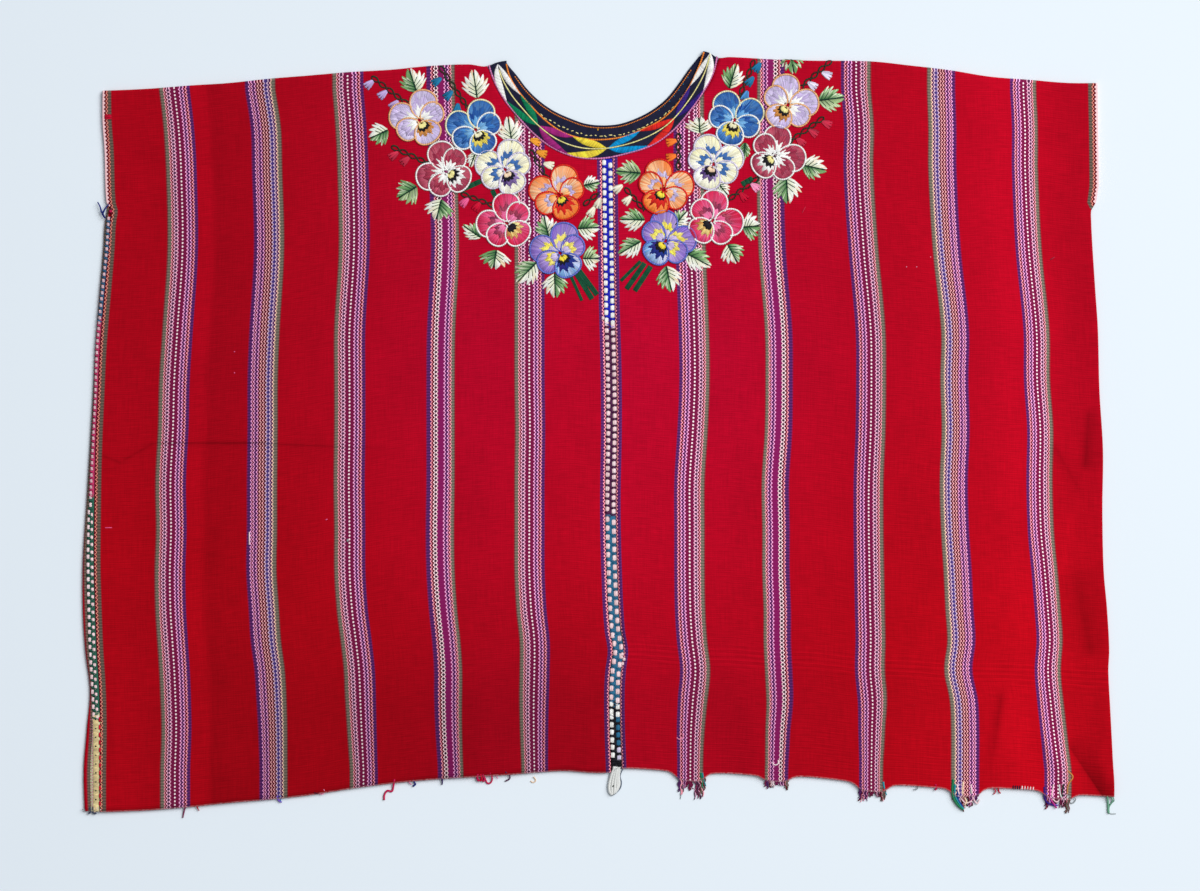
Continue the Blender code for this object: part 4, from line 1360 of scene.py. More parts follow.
# kind, throat across and up, turn
FLOWERS = (
    ("lilac", -141.9, 544.4, 33.0),
    ("blue", -97.6, 536.9, 28.0),
    ("maroon", -120.8, 504.1, 61.0),
    ("cream", -74.4, 505.6, 27.0),
    ("orange", -32.2, 485.6, 28.0),
    ("crimson", -73.0, 463.4, 47.0),
    ("violet", -31.2, 439.9, 32.0),
    ("lilac", 147.8, 556.4, -38.0),
    ("blue", 105.9, 544.4, -18.0),
    ("maroon", 137.5, 516.4, -52.0),
    ("cream", 89.3, 509.6, -25.0),
    ("orange", 49.9, 489.9, -30.0),
    ("crimson", 88.4, 465.4, -50.0),
    ("violet", 51.5, 449.3, -40.0),
)


def petal_outline(length, half_width, corners):
    """Egg-shaped outline with its narrow end at the throat; 0 degrees is the far tip."""
    turn = np.radians(corners)
    along = length * (PETAL_CENTRE + PETAL_REACH * np.cos(turn))
    return np.stack([along, half_width * np.sin(turn) * (0.88 + 0.12 * np.cos(turn))], axis=-1)


def petal(stitches, settings, place, turn, length, half_width, zones, rim, above):
    """One petal: zones of thread spreading from the throat, then a corded rim."""
    outline = turned(petal_outline(length, half_width, np.linspace(0.0, 360.0, 40)), turn, place)
    stitches.leave_out(lambda points: inside(points, outline))
    round_edge = math.pi * (PETAL_REACH * length + half_width)
    thread = settings.thread_width / METRES
    count = int(round_edge / thread)
    corners = np.linspace(-PETAL_SWEEP, PETAL_SWEEP, count)
    ends = petal_outline(length, half_width, corners)
    starts = np.stack([0.08 * length + 0.05 * ends[:, 0], 0.10 * ends[:, 1]], axis=-1)
    place_across = np.linspace(0.0, 1.0, count)
    teeth = max(4, round(0.6 * half_width))
    jitter = stitches.random.uniform(-0.03, 0.03, (len(zones) + 1, count))
    inner = np.zeros(count)
    for number, (share, first, second, depth) in enumerate(zones):
        outer = share + depth * (wave(place_across, teeth) ** 1.4 - 0.45) + jitter[number]
        outer = np.minimum(outer, ZONES_END) if depth else np.full(count, ZONES_END)
        step = 1 if share > 0.65 else 2
        pick = slice(number % step, None, step)
        width = thread * step * np.maximum(0.55, share) * 1.25
        near = np.maximum(inner - 0.05, 0.0) if number else inner
        start = starts + near[:, None] * (ends - starts)
        end = starts + outer[:, None] * (ends - starts)
        blend = np.clip(1.6 * place_across - 0.3 + 6.0 * jitter[-1], 0.0, 1.0)[:, None]
        swapped = (stitches.random.random(count) < ODD_STITCHES)[:, None]
        blend = np.where(swapped, 1.0 - blend, blend)
        dye = np.array(THREADS[first]) * (1 - blend) + np.array(THREADS[second]) * blend
        lift_here = above + 0.07 * (len(zones) - number)
        paler = dye + PALER_THROAT * (255.0 - dye) if number == len(zones) - 1 else dye
        stitches.add(turned(start, turn, place)[pick], turned(end, turn, place)[pick], width,
                     lift_here, paler[pick], 0.06, dye[pick])
        inner = outer if step == 1 else np.minimum(outer, share)
    corners = np.linspace(-RIM_SWEEP, RIM_SWEEP, int(round_edge / RIM_STITCH))
    line = turned(petal_outline(length - RIM_INSET, half_width - RIM_INSET, corners), turn, place)
    stitches.cord(line, settings.rim_width / METRES, above + 0.3, rim, overlap=1.9)


def pansy(stitches, settings, kind, x, y, turn):
    """Five petals, the two at the back first and the face petal last."""
    back_rim, rim, plain, face = PANSIES[kind]
    for number, (direction, length, half_width) in enumerate(PETALS):
        petal(stitches, settings, (x, y), direction + turn, length, half_width,
              face if number == 4 else plain, back_rim if number < 2 else rim, 0.1 + 0.09 * number)


# ---- leaves, buds, vines and stalks ----
# base across and up, direction, length, half width, thread left of the midrib and right of it
LEAVES = (
    (-144.2, 566.6, 108.0, 19.4, 10.2, "leaf", "milk"),
    (-166.8, 537.1, -155.0, 16.3, 9.1, "leaf", "milk"),
    (-96.7, 562.0, 98.0, 22.1, 10.2, "milk", "milk"),
    (-69.1, 526.0, 99.0, 21.4, 9.5, "milk", "milk"),
    (-97.7, 520.1, -110.0, 13.4, 4.7, "milk", "milk"),
    (-144.2, 492.5, -148.0, 17.8, 10.2, "pale_leaf", "leaf"),
    (-124.9, 482.3, -104.0, 17.1, 11.0, "leaf", "milk"),
    (-81.5, 442.5, -99.0, 15.3, 11.8, "milk", "leaf"),
    (-93.8, 452.3, 146.0, 17.1, 6.3, "milk", "leaf"),
    (-40.2, 452.3, 103.0, 17.7, 8.7, "leaf", "milk"),
    (-12.9, 493.4, 13.0, 13.2, 6.3, "milk", "leaf"),
    (-17.5, 459.4, 3.0, 17.0, 9.5, "leaf", "milk"),
    (-13.6, 435.9, 0.0, 13.6, 9.5, "pale_leaf", "milk"),
    (-50.1, 432.6, -134.0, 21.7, 9.5, "milk", "leaf"),
    (-35.8, 424.2, -88.0, 19.0, 9.8, "leaf", "milk"),
    (101.9, 569.6, 74.0, 19.8, 8.7, "leaf", "milk"),
    (171.5, 560.2, 7.0, 20.5, 9.5, "leaf", "pale_leaf"),
    (149.7, 598.9, -80.0, 17.7, 8.7, "leaf", "leaf"),
    (78.6, 534.4, 93.0, 13.4, 11.0, "milk", "milk"),
    (32.2, 503.1, 175.0, 19.5, 9.1, "leaf", "pale_leaf"),
    (158.6, 509.6, -12.0, 20.0, 9.5, "milk", "leaf"),
    (146.6, 500.6, -86.0, 21.2, 11.0, "milk", "leaf"),
    (114.3, 527.2, -96.0, 14.3, 4.7, "leaf", "leaf"),
    (93.0, 494.9, -50.0, 12.4, 5.5, "milk", "milk"),
    (35.4, 466.2, 179.0, 19.7, 8.7, "milk", "leaf"),
    (32.2, 449.3, -150.0, 20.0, 7.9, "milk", "leaf"),
    (58.7, 461.8, 50.0, 15.1, 7.1, "leaf", "milk"),
    (66.7, 440.5, -28.0, 22.7, 8.7, "leaf", "milk"),
    (52.2, 430.0, -78.0, 20.5, 9.5, "milk", "leaf"),
    (112.1, 460.5, 5.0, 14.1, 11.0, "milk", "leaf"),
    (100.5, 446.9, -62.0, 16.4, 9.5, "leaf", "milk"),
)
# thread, base across and up, direction
BUDS = (
    ("lavender", -178.6, 575.6, 220.0),
    ("lavender", -168.0, 567.7, 220.0),
    ("lavender", -159.3, 559.7, 225.0),
    ("teal", -125.3, 577.6, 215.0),
    ("teal", -116.6, 567.4, 225.0),
    ("teal", -111.9, 557.5, 265.0),
    ("dusk", -159.2, 519.3, 215.0),
    ("dusk", -150.5, 515.4, 220.0),
    ("pink", -104.0, 483.0, 225.0),
    ("ruby", -94.6, 479.9, 235.0),
    ("amber", -54.4, 529.5, -20.0),
    ("amber", -49.6, 520.1, -20.0),
    ("ivory", -44.1, 510.6, -15.0),
    ("ivory", 0.0, 483.0, 250.0),
    ("ivory", -4.7, 476.0, 240.0),
    ("teal", 126.1, 589.4, 235.0),
    ("teal", 120.6, 578.4, 230.0),
    ("azure", 115.8, 567.4, 250.0),
    ("mist", 174.9, 582.3, -25.0),
    ("mist", 163.9, 574.5, -35.0),
    ("dusk", 174.9, 543.7, -25.0),
    ("dusk", 164.7, 537.4, -35.0),
    ("dusk", 155.2, 530.3, -45.0),
    ("blush", 119.0, 494.9, -40.0),
    ("ruby", 110.3, 487.8, -50.0),
    ("apricot", 59.9, 528.7, 195.0),
    ("apricot", 59.9, 516.9, 195.0),
    ("ivory", 17.3, 493.3, 215.0),
    ("ivory", 24.4, 484.6, 225.0),
)
BUD_LENGTH = 10.5
BUD_SPREAD = 27.0         # degrees to each side
# start across and up, end across and up
VINES = (
    (-180.1, 579.3, -152.5, 558.2),
    (-126.4, 587.8, -104.8, 555.5),
    (-164.7, 524.3, -136.6, 511.4),
    (-109.9, 487.3, -83.8, 477.5),
    (-55.2, 521.8, -41.8, 498.8),
    (-13.4, 477.5, -1.6, 487.0),
    (121.7, 592.6, 109.5, 562.4),
    (182.8, 592.6, 159.4, 571.5),
    (176.7, 547.3, 148.9, 527.7),
    (125.3, 499.8, 100.6, 481.7),
    (61.8, 535.1, 61.8, 505.6),
    (19.3, 491.9, 34.6, 474.4),
)
VINE_SWING = 1.7
VINE_PITCH = 15.0
# start across and up, end across and up, width
STALKS = (
    (-23.3, 422.8, -14.8, 403.9, 2.4),
    (-19.4, 425.5, -7.1, 405.3, 3.9),
    (-16.8, 426.8, -3.2, 408.5, 3.9),
    (32.2, 434.0, 17.3, 419.2, 2.5),
    (35.4, 432.6, 21.7, 413.1, 3.9),
    (40.2, 430.0, 28.1, 411.5, 3.9),
    (-108.7, 490.1, -94.6, 496.4, 3.9),
    (-85.1, 490.1, -79.6, 479.1, 3.5),
    (111.1, 494.1, 119.8, 498.8, 3.9),
)


LEAF_LOBES = 4            # on each side
LEAF_STITCH_STEP = 0.62
LEAF_RIB_REACH = 0.62     # of the way from the midrib to the rim
STALK_LANE = 0.8          # distance between a stalk's lines


def leaf_rib(share, length, half_width, side):
    """Where the stitch at this share of a leaf leaves the midrib, and where it reaches the rim."""
    reach = 0.28 + 0.72 * share
    out = half_width * np.sin(math.pi * (0.12 + 0.88 * reach) ** 1.15) ** 0.8
    start = np.stack([length * (0.52 * share + 0.01), 0.0 * share], axis=-1)
    end = np.stack([length * reach, side * out], axis=-1)
    return start, end


def leaf(stitches, x, y, direction, length, half_width, left, right):
    """A leaf of forward-pointing lobes in slanting satin stitches, with dark ribs between them."""
    pale = np.array(THREADS["pale_leaf"])
    for side, dye in ((1.0, left), (-1.0, right)):
        share = np.linspace(0.0, 1.0, int(length / LEAF_STITCH_STEP))
        start, end = leaf_rib(share, length, half_width, side)
        lobe = (LEAF_LOBES * share + 0.1) % 1.0
        end = start + (end - start) * (0.68 + 0.46 * lobe)[:, None]
        deep = np.array(THREADS[dye])
        streak = stitches.random.random((len(share), 1))
        if dye == "milk":
            near = deep - (deep - pale) * (0.45 - 0.4 * streak)
            far = np.where(streak < 0.2, THREADS["shell"], THREADS["white"])
        else:
            near = deep * (0.92 - 0.25 * streak)
            far = np.where(streak < 0.35, THREADS["milk"], 0.4 * deep + 0.6 * pale)
        start, end = turned(start, direction, (x, y)), turned(end, direction, (x, y))
        stitches.add(start, end, 1.3, 0.05, near, 0.05, far)
        ribs = (np.arange(1, LEAF_LOBES + 1) - 0.25) / LEAF_LOBES
        start, end = leaf_rib(ribs[:-1], length, half_width, side)
        end = start + LEAF_RIB_REACH * (end - start)
        stitches.add(turned(start, direction, (x, y)), turned(end, direction, (x, y)), 0.9, 0.3, "vein")
    rib = turned(np.stack([np.linspace(0.0, 0.86, 4) * length, np.zeros(4)], axis=-1), direction, (x, y))
    stitches.cord(rib, 1.25, 0.35, "vein", overlap=1.3)


def bud(stitches, dye, x, y, direction):
    """A bell of three lobes, worked in fanned stitches."""
    spread = np.linspace(-1.0, 1.0, 10)
    length = BUD_LENGTH * (0.7 + 0.3 * wave(0.5 + 0.5 * spread, 3.0))
    turn = np.radians(direction + BUD_SPREAD * spread)
    ahead = np.stack([np.cos(turn), np.sin(turn)], axis=-1)
    base = np.array((x, y)) - 0.08 * BUD_LENGTH * ahead
    side = math.radians(direction + 90.0)
    start = base + (0.9 * spread)[:, None] * np.array((math.cos(side), math.sin(side)))
    stitches.add(start, base + length[:, None] * ahead, 1.35, 0.12, dye, 0.08)


def run_between(x0, y0, x1, y1):
    """Length and direction of a straight run."""
    return math.hypot(x1 - x0, y1 - y0), math.degrees(math.atan2(y1 - y0, x1 - x0))


def vine(stitches, x0, y0, x1, y1):
    """Two stem-stitched lines that wind round each other."""
    length, direction = run_between(x0, y0, x1, y1)
    share = np.linspace(0.0, 1.0, int(length / 2.0) + 2)
    for number, dye in ((0.0, "moss"), (0.5, "bark")):
        swing = VINE_SWING * np.sin(2 * math.pi * (share * length / VINE_PITCH + number))
        line = np.stack([share * length, swing], axis=-1)
        stitches.cord(turned(line, direction, (x0, y0)), 1.4, 0.08 + 0.1 * number, dye)


def stalk(stitches, x0, y0, x1, y1, width):
    """Long stitches side by side."""
    length, direction = run_between(x0, y0, x1, y1)
    for lane in np.linspace(-0.5, 0.5, max(3, round(width / STALK_LANE))):
        line = np.stack([np.linspace(0.0, length, 4), np.full(4, lane * (width - STALK_LANE))], axis=-1)
        stitches.cord(turned(line, direction, (x0, y0)), 1.05, 0.06, "pine", overlap=1.25)


# across and up, direction, length, width, thread: slubs and darns in the plain cloth
FLECKS = (
    (-288.5, 362.4, 10.0, 1.5, 1.2, "pink"),
    (-288.5, 346.0, 350.0, 1.5, 1.2, "pink"),
    (-390.0, 224.0, 0.0, 6.0, 0.8, "pink"),
    (-216.5, 230.0, 20.0, 2.5, 1.0, "pink"),
    (-199.8, 213.9, 0.0, 2.2, 2.6, "dusty"),
    (-276.0, 221.0, 270.0, 11.0, 1.2, "petal"),
    (-331.0, 223.6, 0.0, 2.2, 2.0, "cerise"),
    (-387.0, 473.0, 0.0, 3.4, 3.0, "cerise"),
    (-390.6, 546.0, 0.0, 6.8, 1.5, "ruby"),
    (-390.6, 547.3, 0.0, 6.8, 1.5, "ruby"),
    (-390.6, 548.6, 0.0, 6.8, 1.5, "ruby"),
    (354.0, 434.6, 32.0, 5.0, 1.0, "dusk"),
    (240.5, 429.3, 0.0, 1.3, 0.9, "blush"),
    (248.6, 429.3, 0.0, 1.3, 0.9, "blush"),
    (259.5, 437.0, 0.0, 1.3, 0.9, "blush"),
    (159.0, 471.5, 62.0, 6.0, 0.7, "dusk"),
)


def sprays(side, settings):
    """All the embroidery of one loom width, worked from the back to the front."""
    stitches = Stitches(seed=21 + side)

    def here(x):
        return (x > centre_line(500.0)) == (side > 0)

    for x, y, direction, length, width, dye in FLECKS:
        if here(x):
            reach = turned((length, 0.0), direction, (x, y))
            stitches.add((x, y), reach, width, 0.05, dye)
    for table, work, column in ((STALKS, stalk, 0), (VINES, vine, 0), (LEAVES, leaf, 0), (BUDS, bud, 1)):
        for row in table:
            if here(row[column]):
                work(stitches, *row)
    for row in FLOWERS:
        if here(row[1]):
            pansy(stitches, settings, *row)
    stitches.leave_out(lambda points: ~on_cloth(points))
    return stitches


# ---- narrow strips and their needlework ----
def strip(name, left, right, low, high, front, crown, dyes, material, rows):
    """A closed strip between two side lines and two end lines. crown lifts its columns."""
    share = np.linspace(0.0, 1.0, rows)[:, None]
    across = np.linspace(0.0, 1.0, len(crown))[None, :]
    y = low(0.0) + share * (high(0.0) - low(0.0)) + 0.0 * across
    for _ in range(2):
        x = left(y) + across * (right(y) - left(y))
        y = low(x) + share * (high(x) - low(x))
    level = front_level(x, y) if front else np.full(x.shape, BACK_LEVEL)
    outer = np.stack([x, y, level + 0.5 * WALL + np.array(crown)], axis=-1)
    inner = np.stack([x, y, level - 0.5 * WALL], axis=-1)
    points = np.concatenate([outer.reshape(-1, 3), inner.reshape(-1, 3)])
    piece = piece_from(name, points, shell_faces(*x.shape), material)
    colours = np.array([THREADS[zone_at(dyes, height)[-1]] for height in y.ravel()])
    set_colours(piece, "thread_colour", np.concatenate([linear(colours)] * 2))
    places = np.stack([y, x, 0.0 * x], axis=-1).reshape(-1, 3)
    set_vectors(piece, "thread", np.concatenate([places] * 2))
    return facing_up(piece)


def zone_at(zones, height):
    """The row of a table, from the top down, that holds this height. Its first column is its lowest."""
    for zone in zones:
        if height >= zone[0]:
            return zone
    return zones[-1]


# lowest height, distance between knots, left row, right row, thread that binds them
CENTRE_WORK = (
    (387.0, 5.9, "white", "white", "royal"),
    (234.0, 5.4, "petal", "petal", "aubergine"),
    (88.0, 7.0, "petal", "petal", "steel"),
    (78.0, 6.0, "white", "white", "black"),
    (54.0, 6.0, "white", "steel", "black"),
    (44.0, 6.0, "white", "mist", "black"),
    (30.0, 3.4, "black", "black", "black"),
)
LONGEST_KNOT = 5.6
# across and up, of the knots beside the seam where it was mended
STRAY_KNOTS = ((17.6, 124.5), (18.9, 120.5), (17.8, 117.0), (2.4, 389.0))
KNOT_SPACING = 2.45       # from the middle of the seam to each row
SEAM_RISE = 0.15
SEAM_FOOT = 12.0          # distance across at which the joining seam meets the hem
LAST_KNOT = 3.0           # of it, above the hem
KNOT_JITTER = 0.3


def satin_knots(stitches, x, y, length, width, above, dye):
    """Short bars of three satin stitches each, crowned in the middle."""
    for lane, rise, reach in ((-0.31, 0.0, 0.46), (0.31, 0.0, 0.46), (0.0, 0.12, 0.5)):
        start = np.stack([x + lane * width, y + reach * length], axis=-1)
        end = np.stack([x + lane * width, y - reach * length], axis=-1)
        stitches.add(start, end, 0.52 * width, above + rise, dye, 0.04)


def centre_work(settings):
    """Two rows of knots along the joining seam and the threads that bind them."""
    stitches = Stitches(seed=31)
    top = NECK_CENTRE[1] - neck_reach[FRONT_OUTER](270.0) - GAP
    for low, pitch, left_dye, right_dye, binding in CENTRE_WORK:
        low = max(low, hem(SEAM_FOOT) + LAST_KNOT)
        y = np.arange(top - 0.5 * pitch, low, -pitch)
        y = y + stitches.random.uniform(-KNOT_JITTER, KNOT_JITTER, len(y))
        for side, lag, dye in ((-1.0, 0.0, left_dye), (1.0, 0.36, right_dye)):
            here = y - lag * pitch
            x = centre_line(here) + side * KNOT_SPACING
            length = min(settings.knot_share * pitch, LONGEST_KNOT)
            satin_knots(stitches, x, here, length, settings.knot_width / METRES, SEAM_RISE, dye)
            between = here - 0.5 * pitch
            middle = centre_line(between)
            outer = np.stack([middle + side * 4.1, between + 0.7], axis=-1)
            inner = np.stack([middle + side * 0.3, between - 0.8], axis=-1)
            stitches.add(outer, inner, 1.3, SEAM_RISE + 0.15, binding)
            over = np.stack([middle - side * 1.1, between - 2.2], axis=-1)
            stitches.add(inner, over, 0.95, SEAM_RISE + 0.3, binding)
        top = low
    x, y = np.array(STRAY_KNOTS).T
    satin_knots(stitches, x, y, 3.4, 2.0, SEAM_RISE + 0.3, "petal")
    return stitches


# height, outer and inner side of the needlework that covers the left edge
LEFT_WORK_SIDES = (
    (-4.0, -399.4, -394.2),
    (40.0, -399.3, -394.2),
    (76.0, -399.8, -394.6),
    (96.0, -400.7, -395.6),
    (135.0, -402.9, -397.2),
    (198.0, -404.3, -398.6),
    (246.0, -402.9, -399.0),
    (293.0, -400.6, -397.2),
    (325.0, -399.0, -395.7),
    (364.0, -397.7, -394.1),
    (403.0, -394.3, -390.5),
    (442.0, -390.4, -386.5),
    (472.0, -388.4, -384.6),
)
# lowest height, distance between knots, knots, thread that binds them
LEFT_WORK = (
    (388.0, 4.9, "dull_petal", "dull_teal"),
    (251.0, 4.8, "dull_petal", "madder"),
    (76.0, 5.9, "petal", "dull_green"),
    (-2.0, 0.0, "cream", "cream"),
)
# marks on the satin near the hem: distance between them, offset from its middle, length, width, thread
LEFT_SATIN_MARKS = (
    (7.0, 0.0, 1.3, 1.3, "moss"),
    (1.9, -2.6, 1.0, 0.9, "blush"),
    (6.0, 3.2, 4.5, 1.5, "ruby"),
    (2.3, 4.3, 1.2, 0.8, "peach"),
    (2.6, -4.0, 0.9, 0.8, "rose"),
)
# lowest height, thread: the plain overcast edge that shows nowhere
HIDDEN_WORK = ((-10.0, "ruby"),)


LEFT_FOOT = -397.0        # distance across at which the left edge's needlework meets the hem
SATIN_STEP = 1.05
SATIN_THREAD = "flax"
TWO_KNOTS_FROM = 4.2      # the narrowest needlework that has two rows of knots


def left_satin(stitches, top, outer_line, inner_line, dye):
    """Close satin stitches over the left edge near the hem, with marks in other threads on them."""
    y = np.arange(top, hem(LEFT_FOOT) + 0.8, -SATIN_STEP)
    start = np.stack([outer_line(y) - 0.2, y + 0.5], axis=-1)
    end = np.stack([inner_line(y) + 0.2, y - 0.5], axis=-1)
    stitches.add(start, end, 1.3, 0.2, dye, 0.05)
    middle = 0.5 * (outer_line(y) + inner_line(y))
    for pitch, offset, run, width, mark_dye in LEFT_SATIN_MARKS:
        marks = np.arange(top - 3.0, hem(LEFT_FOOT) + 4.0, -pitch)
        x = np.interp(marks, y[::-1], middle[::-1]) + offset
        start = np.stack([x, marks + 0.5 * run], axis=-1)
        end = np.stack([x, marks - 0.5 * run], axis=-1)
        stitches.add(start, end, width, 0.55, mark_dye, 0.12)


def left_knots(stitches, y, pitch, outer_line, inner_line, knot_dye, binding):
    """Knots over the left edge, in two rows where it is wide, and the threads that bind them."""
    width = inner_line(y) - outer_line(y)
    wide = width > TWO_KNOTS_FROM
    middle = 0.5 * (inner_line(y) + outer_line(y))
    for side, lag in ((-1.0, 0.0), (1.0, 0.4)):
        x = np.where(wide, middle + side * 0.27 * width, middle)
        pick = wide if side > 0 else np.ones(len(y), bool)
        bar = np.where(wide, 0.37 * width, 0.5 * width)[pick]
        satin_knots(stitches, x[pick], (y - lag * pitch)[pick], 0.72 * pitch, bar, 0.25, knot_dye)
    between = y - 0.5 * pitch
    start = np.stack([outer_line(between) - 0.1, between + 0.9], axis=-1)
    end = np.stack([inner_line(between) + 0.2, between - 0.9], axis=-1)
    stitches.add(start, end, 1.5, 0.35, binding)
    start = np.stack([outer_line(y), y - 0.9], axis=-1)
    end = np.stack([inner_line(y), y + 0.9], axis=-1)
    stitches.add(start, end, 1.2, 0.15, binding)


def left_work():
    """The needlework over the left edge: knots above, close satin stitches near the hem."""
    stitches = Stitches(seed=32)
    lines = Curve(LEFT_WORK_SIDES, 1), Curve(LEFT_WORK_SIDES, 2)
    top = ROLL_END
    for low, pitch, knot_dye, binding in LEFT_WORK:
        if pitch:
            y = np.arange(top - 0.5 * pitch, low, -pitch)
            y = y + stitches.random.uniform(-KNOT_JITTER, KNOT_JITTER, len(y))
            left_knots(stitches, y, pitch, *lines, knot_dye, binding)
        else:
            left_satin(stitches, top, *lines, SATIN_THREAD)
        top = low
    return stitches


# ---- the neck ribbon ----
RIBBON_RISE = 0.5
RIBBON_ROWS = 90
RIBBON_COLUMNS = 8
# the leaves along the ribbon, in pairs that meet tip to tip round a black lens
RIBBON_LEAVES = ("white", "emerald", "magenta", "yellow", "cyan", "scarlet", "indigo", "white")
RIBBON_MIDDLE = 0.52      # of the way from the outer to the inner edge
RIBBON_HALF = 0.45
RIBBON_STITCH_ROWS = 34
RIBBON_ROW_STEP = 2.6     # nominal distances between the ring's rows and columns, for its ribs
RIBBON_COLUMN_STEP = 1.8
RIBBON_RIB_PITCH = 0.9
RIBBON_RELIEF = 0.00004
RIBBON_TONES = (0.3, 1.9)
# a leaf's two sides from its apex: start, pull and end along the ribbon, then across it
RIBBON_LEAF_SIDES = (
    ((0.0, 0.62, 1.04), (0.0, 0.0, 0.98)),
    ((0.0, 0.34, 1.04), (0.0, 1.6, 0.98)),
)
# from and to along the ribbon, places, share of the way across, width, height, thread
RIBBON_CORDS = (
    (0.02, 0.99, 110, RIBBON_MIDDLE, 1.15, RIBBON_RISE + 0.25, "straw"),
    (0.0, 1.0, 130, 0.03, 1.7, RIBBON_RISE - 0.1, "orchid"),
    (0.0, 1.0, 130, 0.98, 1.5, RIBBON_RISE - 0.1, "orange"),
)


def ribbon_ring():
    """Rows round the neck, each from the outer to the inner edge: over the front and under the back."""
    angles = np.linspace(NECK[0][0], NECK[-1][0], RIBBON_ROWS)
    share = np.linspace(0.0, 1.0, RIBBON_COLUMNS + 1)
    loops = []

    def row(angle, front, tip):
        columns = (FRONT_OUTER, FRONT_INNER) if front else (BACK_OUTER, BACK_INNER)
        (x0, y0), (x1, y1) = (neck_point(angle, column) for column in columns)
        x, y = x0 + (x1 - x0) * share, y0 + (y1 - y0) * share
        y = fold_start(x) if tip else np.minimum(y, fold_start(x))
        return x, y

    front_rows = [row(a, True, i in (0, len(angles) - 1)) for i, a in enumerate(angles)]
    back_rows = [row(a, False, False) for a in angles[1:-1]]
    relief = RIBBON_RISE * np.where((share > 0) & (share < 1), 1.0, 0.7)
    fade = np.clip(np.minimum(np.arange(len(angles)), np.arange(len(angles))[::-1]) / 4.0, 0.25, 1.0)
    for (x, y), full in zip(front_rows, fade):
        z = front_level(x, y)
        loops.append(ring_loop(x, y, z + 0.5 * WALL + full * relief, x, y, z - 0.5 * WALL))
    loops += fold_loops(*front_rows[-1])
    for x, y in back_rows[::-1]:
        low = 0.0 * x + BACK_LEVEL
        loops.append(ring_loop(x, y, low - 0.5 * WALL, x, y, low + 0.5 * WALL))
    loops += fold_loops(*front_rows[0])[::-1]
    return np.array(loops)


def ring_loop(x_out, y_out, z_out, x_in, y_in, z_in):
    """One closed row round the ribbon's section: its outer face and back along its inner one."""
    outer = np.stack([x_out, y_out, z_out], axis=-1)
    inner = np.stack([x_in, y_in, z_in], axis=-1)
    return np.concatenate([outer, inner[::-1]])


def fold_loops(x, y):
    """The ribbon's bend over a shoulder and the row beneath it."""
    level = front_level(x, y)
    radius = 0.5 * (level - BACK_LEVEL)
    loops = []
    for k in range(1, FOLD_STEPS):
        psi = math.pi * k / FOLD_STEPS
        sides = []
        for half in (0.5 * WALL, -0.5 * WALL):
            reach = radius + half
            sides += [x, y + reach * math.sin(psi), BACK_LEVEL + radius + reach * math.cos(psi)]
        loops.append(ring_loop(*sides))
    low = 0.0 * x + BACK_LEVEL
    loops.append(ring_loop(x, y, low - 0.5 * WALL, x, y, low + 0.5 * WALL))
    return loops


def ribbon_piece(name, material):
    """The ribbon as one closed ring."""
    loops = ribbon_ring()
    rows, columns = loops.shape[:2]
    index = np.arange(rows * columns).reshape(rows, columns)
    ahead, beside = np.roll(index, -1, axis=0), np.roll(index, -1, axis=1)
    faces = np.stack([index, beside, np.roll(ahead, -1, axis=1), ahead], axis=-1).reshape(-1, 4)
    piece = piece_from(name, loops.reshape(-1, 3), [faces], material)
    along = np.repeat(np.arange(rows, dtype=float) * RIBBON_ROW_STEP, columns)
    there = np.arange(columns // 2)
    across = np.tile(np.concatenate([there, there[::-1]]) * RIBBON_COLUMN_STEP, rows)
    set_vectors(piece, "ribbon", np.stack([along, across, 0.0 * along], axis=-1))
    return facing_up(piece)


def ribbon_cloth(settings):
    """Black satin ribbon: fine ribs across it and a soft sheen."""
    shades = Shades("black_ribbon", roughness=settings.roughness, specular=0.12)
    along, across, _ = shades.split(shades.attribute("ribbon").outputs["Vector"])
    ribs = shades.ripple(along, RIBBON_RIB_PITCH)
    cloudy = shades.patches(along, across, 4.0, 9.0, 3.0)
    shades.colour(shades.scaled(setting_paint(settings.ground), shades.spread(cloudy, *RIBBON_TONES)))
    shades.bump(ribs, RIBBON_RELIEF)
    return shades.material


def along_front(angle, share):
    """Points on the front ribbon; share runs from its outer to its inner edge."""
    outer = np.stack(neck_point(angle, FRONT_OUTER), axis=-1)
    inner = np.stack(neck_point(angle, FRONT_INNER), axis=-1)
    return outer + np.asarray(share)[..., None] * (inner - outer)


def ribbon_angles():
    """Function from distance along the ribbon's middle, 0 to 1, to direction from the neck's centre."""
    angles = np.linspace(NECK[0][0], NECK[-1][0], 400)
    middle = along_front(angles, np.full(400, RIBBON_MIDDLE))
    travelled = np.concatenate([[0.0], np.cumsum(np.linalg.norm(np.diff(middle, axis=0), axis=1))])
    return lambda place: np.interp(place, travelled / travelled[-1], angles)


def bend(start, control, end, share):
    """Quadratic curve."""
    return (1 - share) ** 2 * start + 2 * share * (1 - share) * control + share ** 2 * end


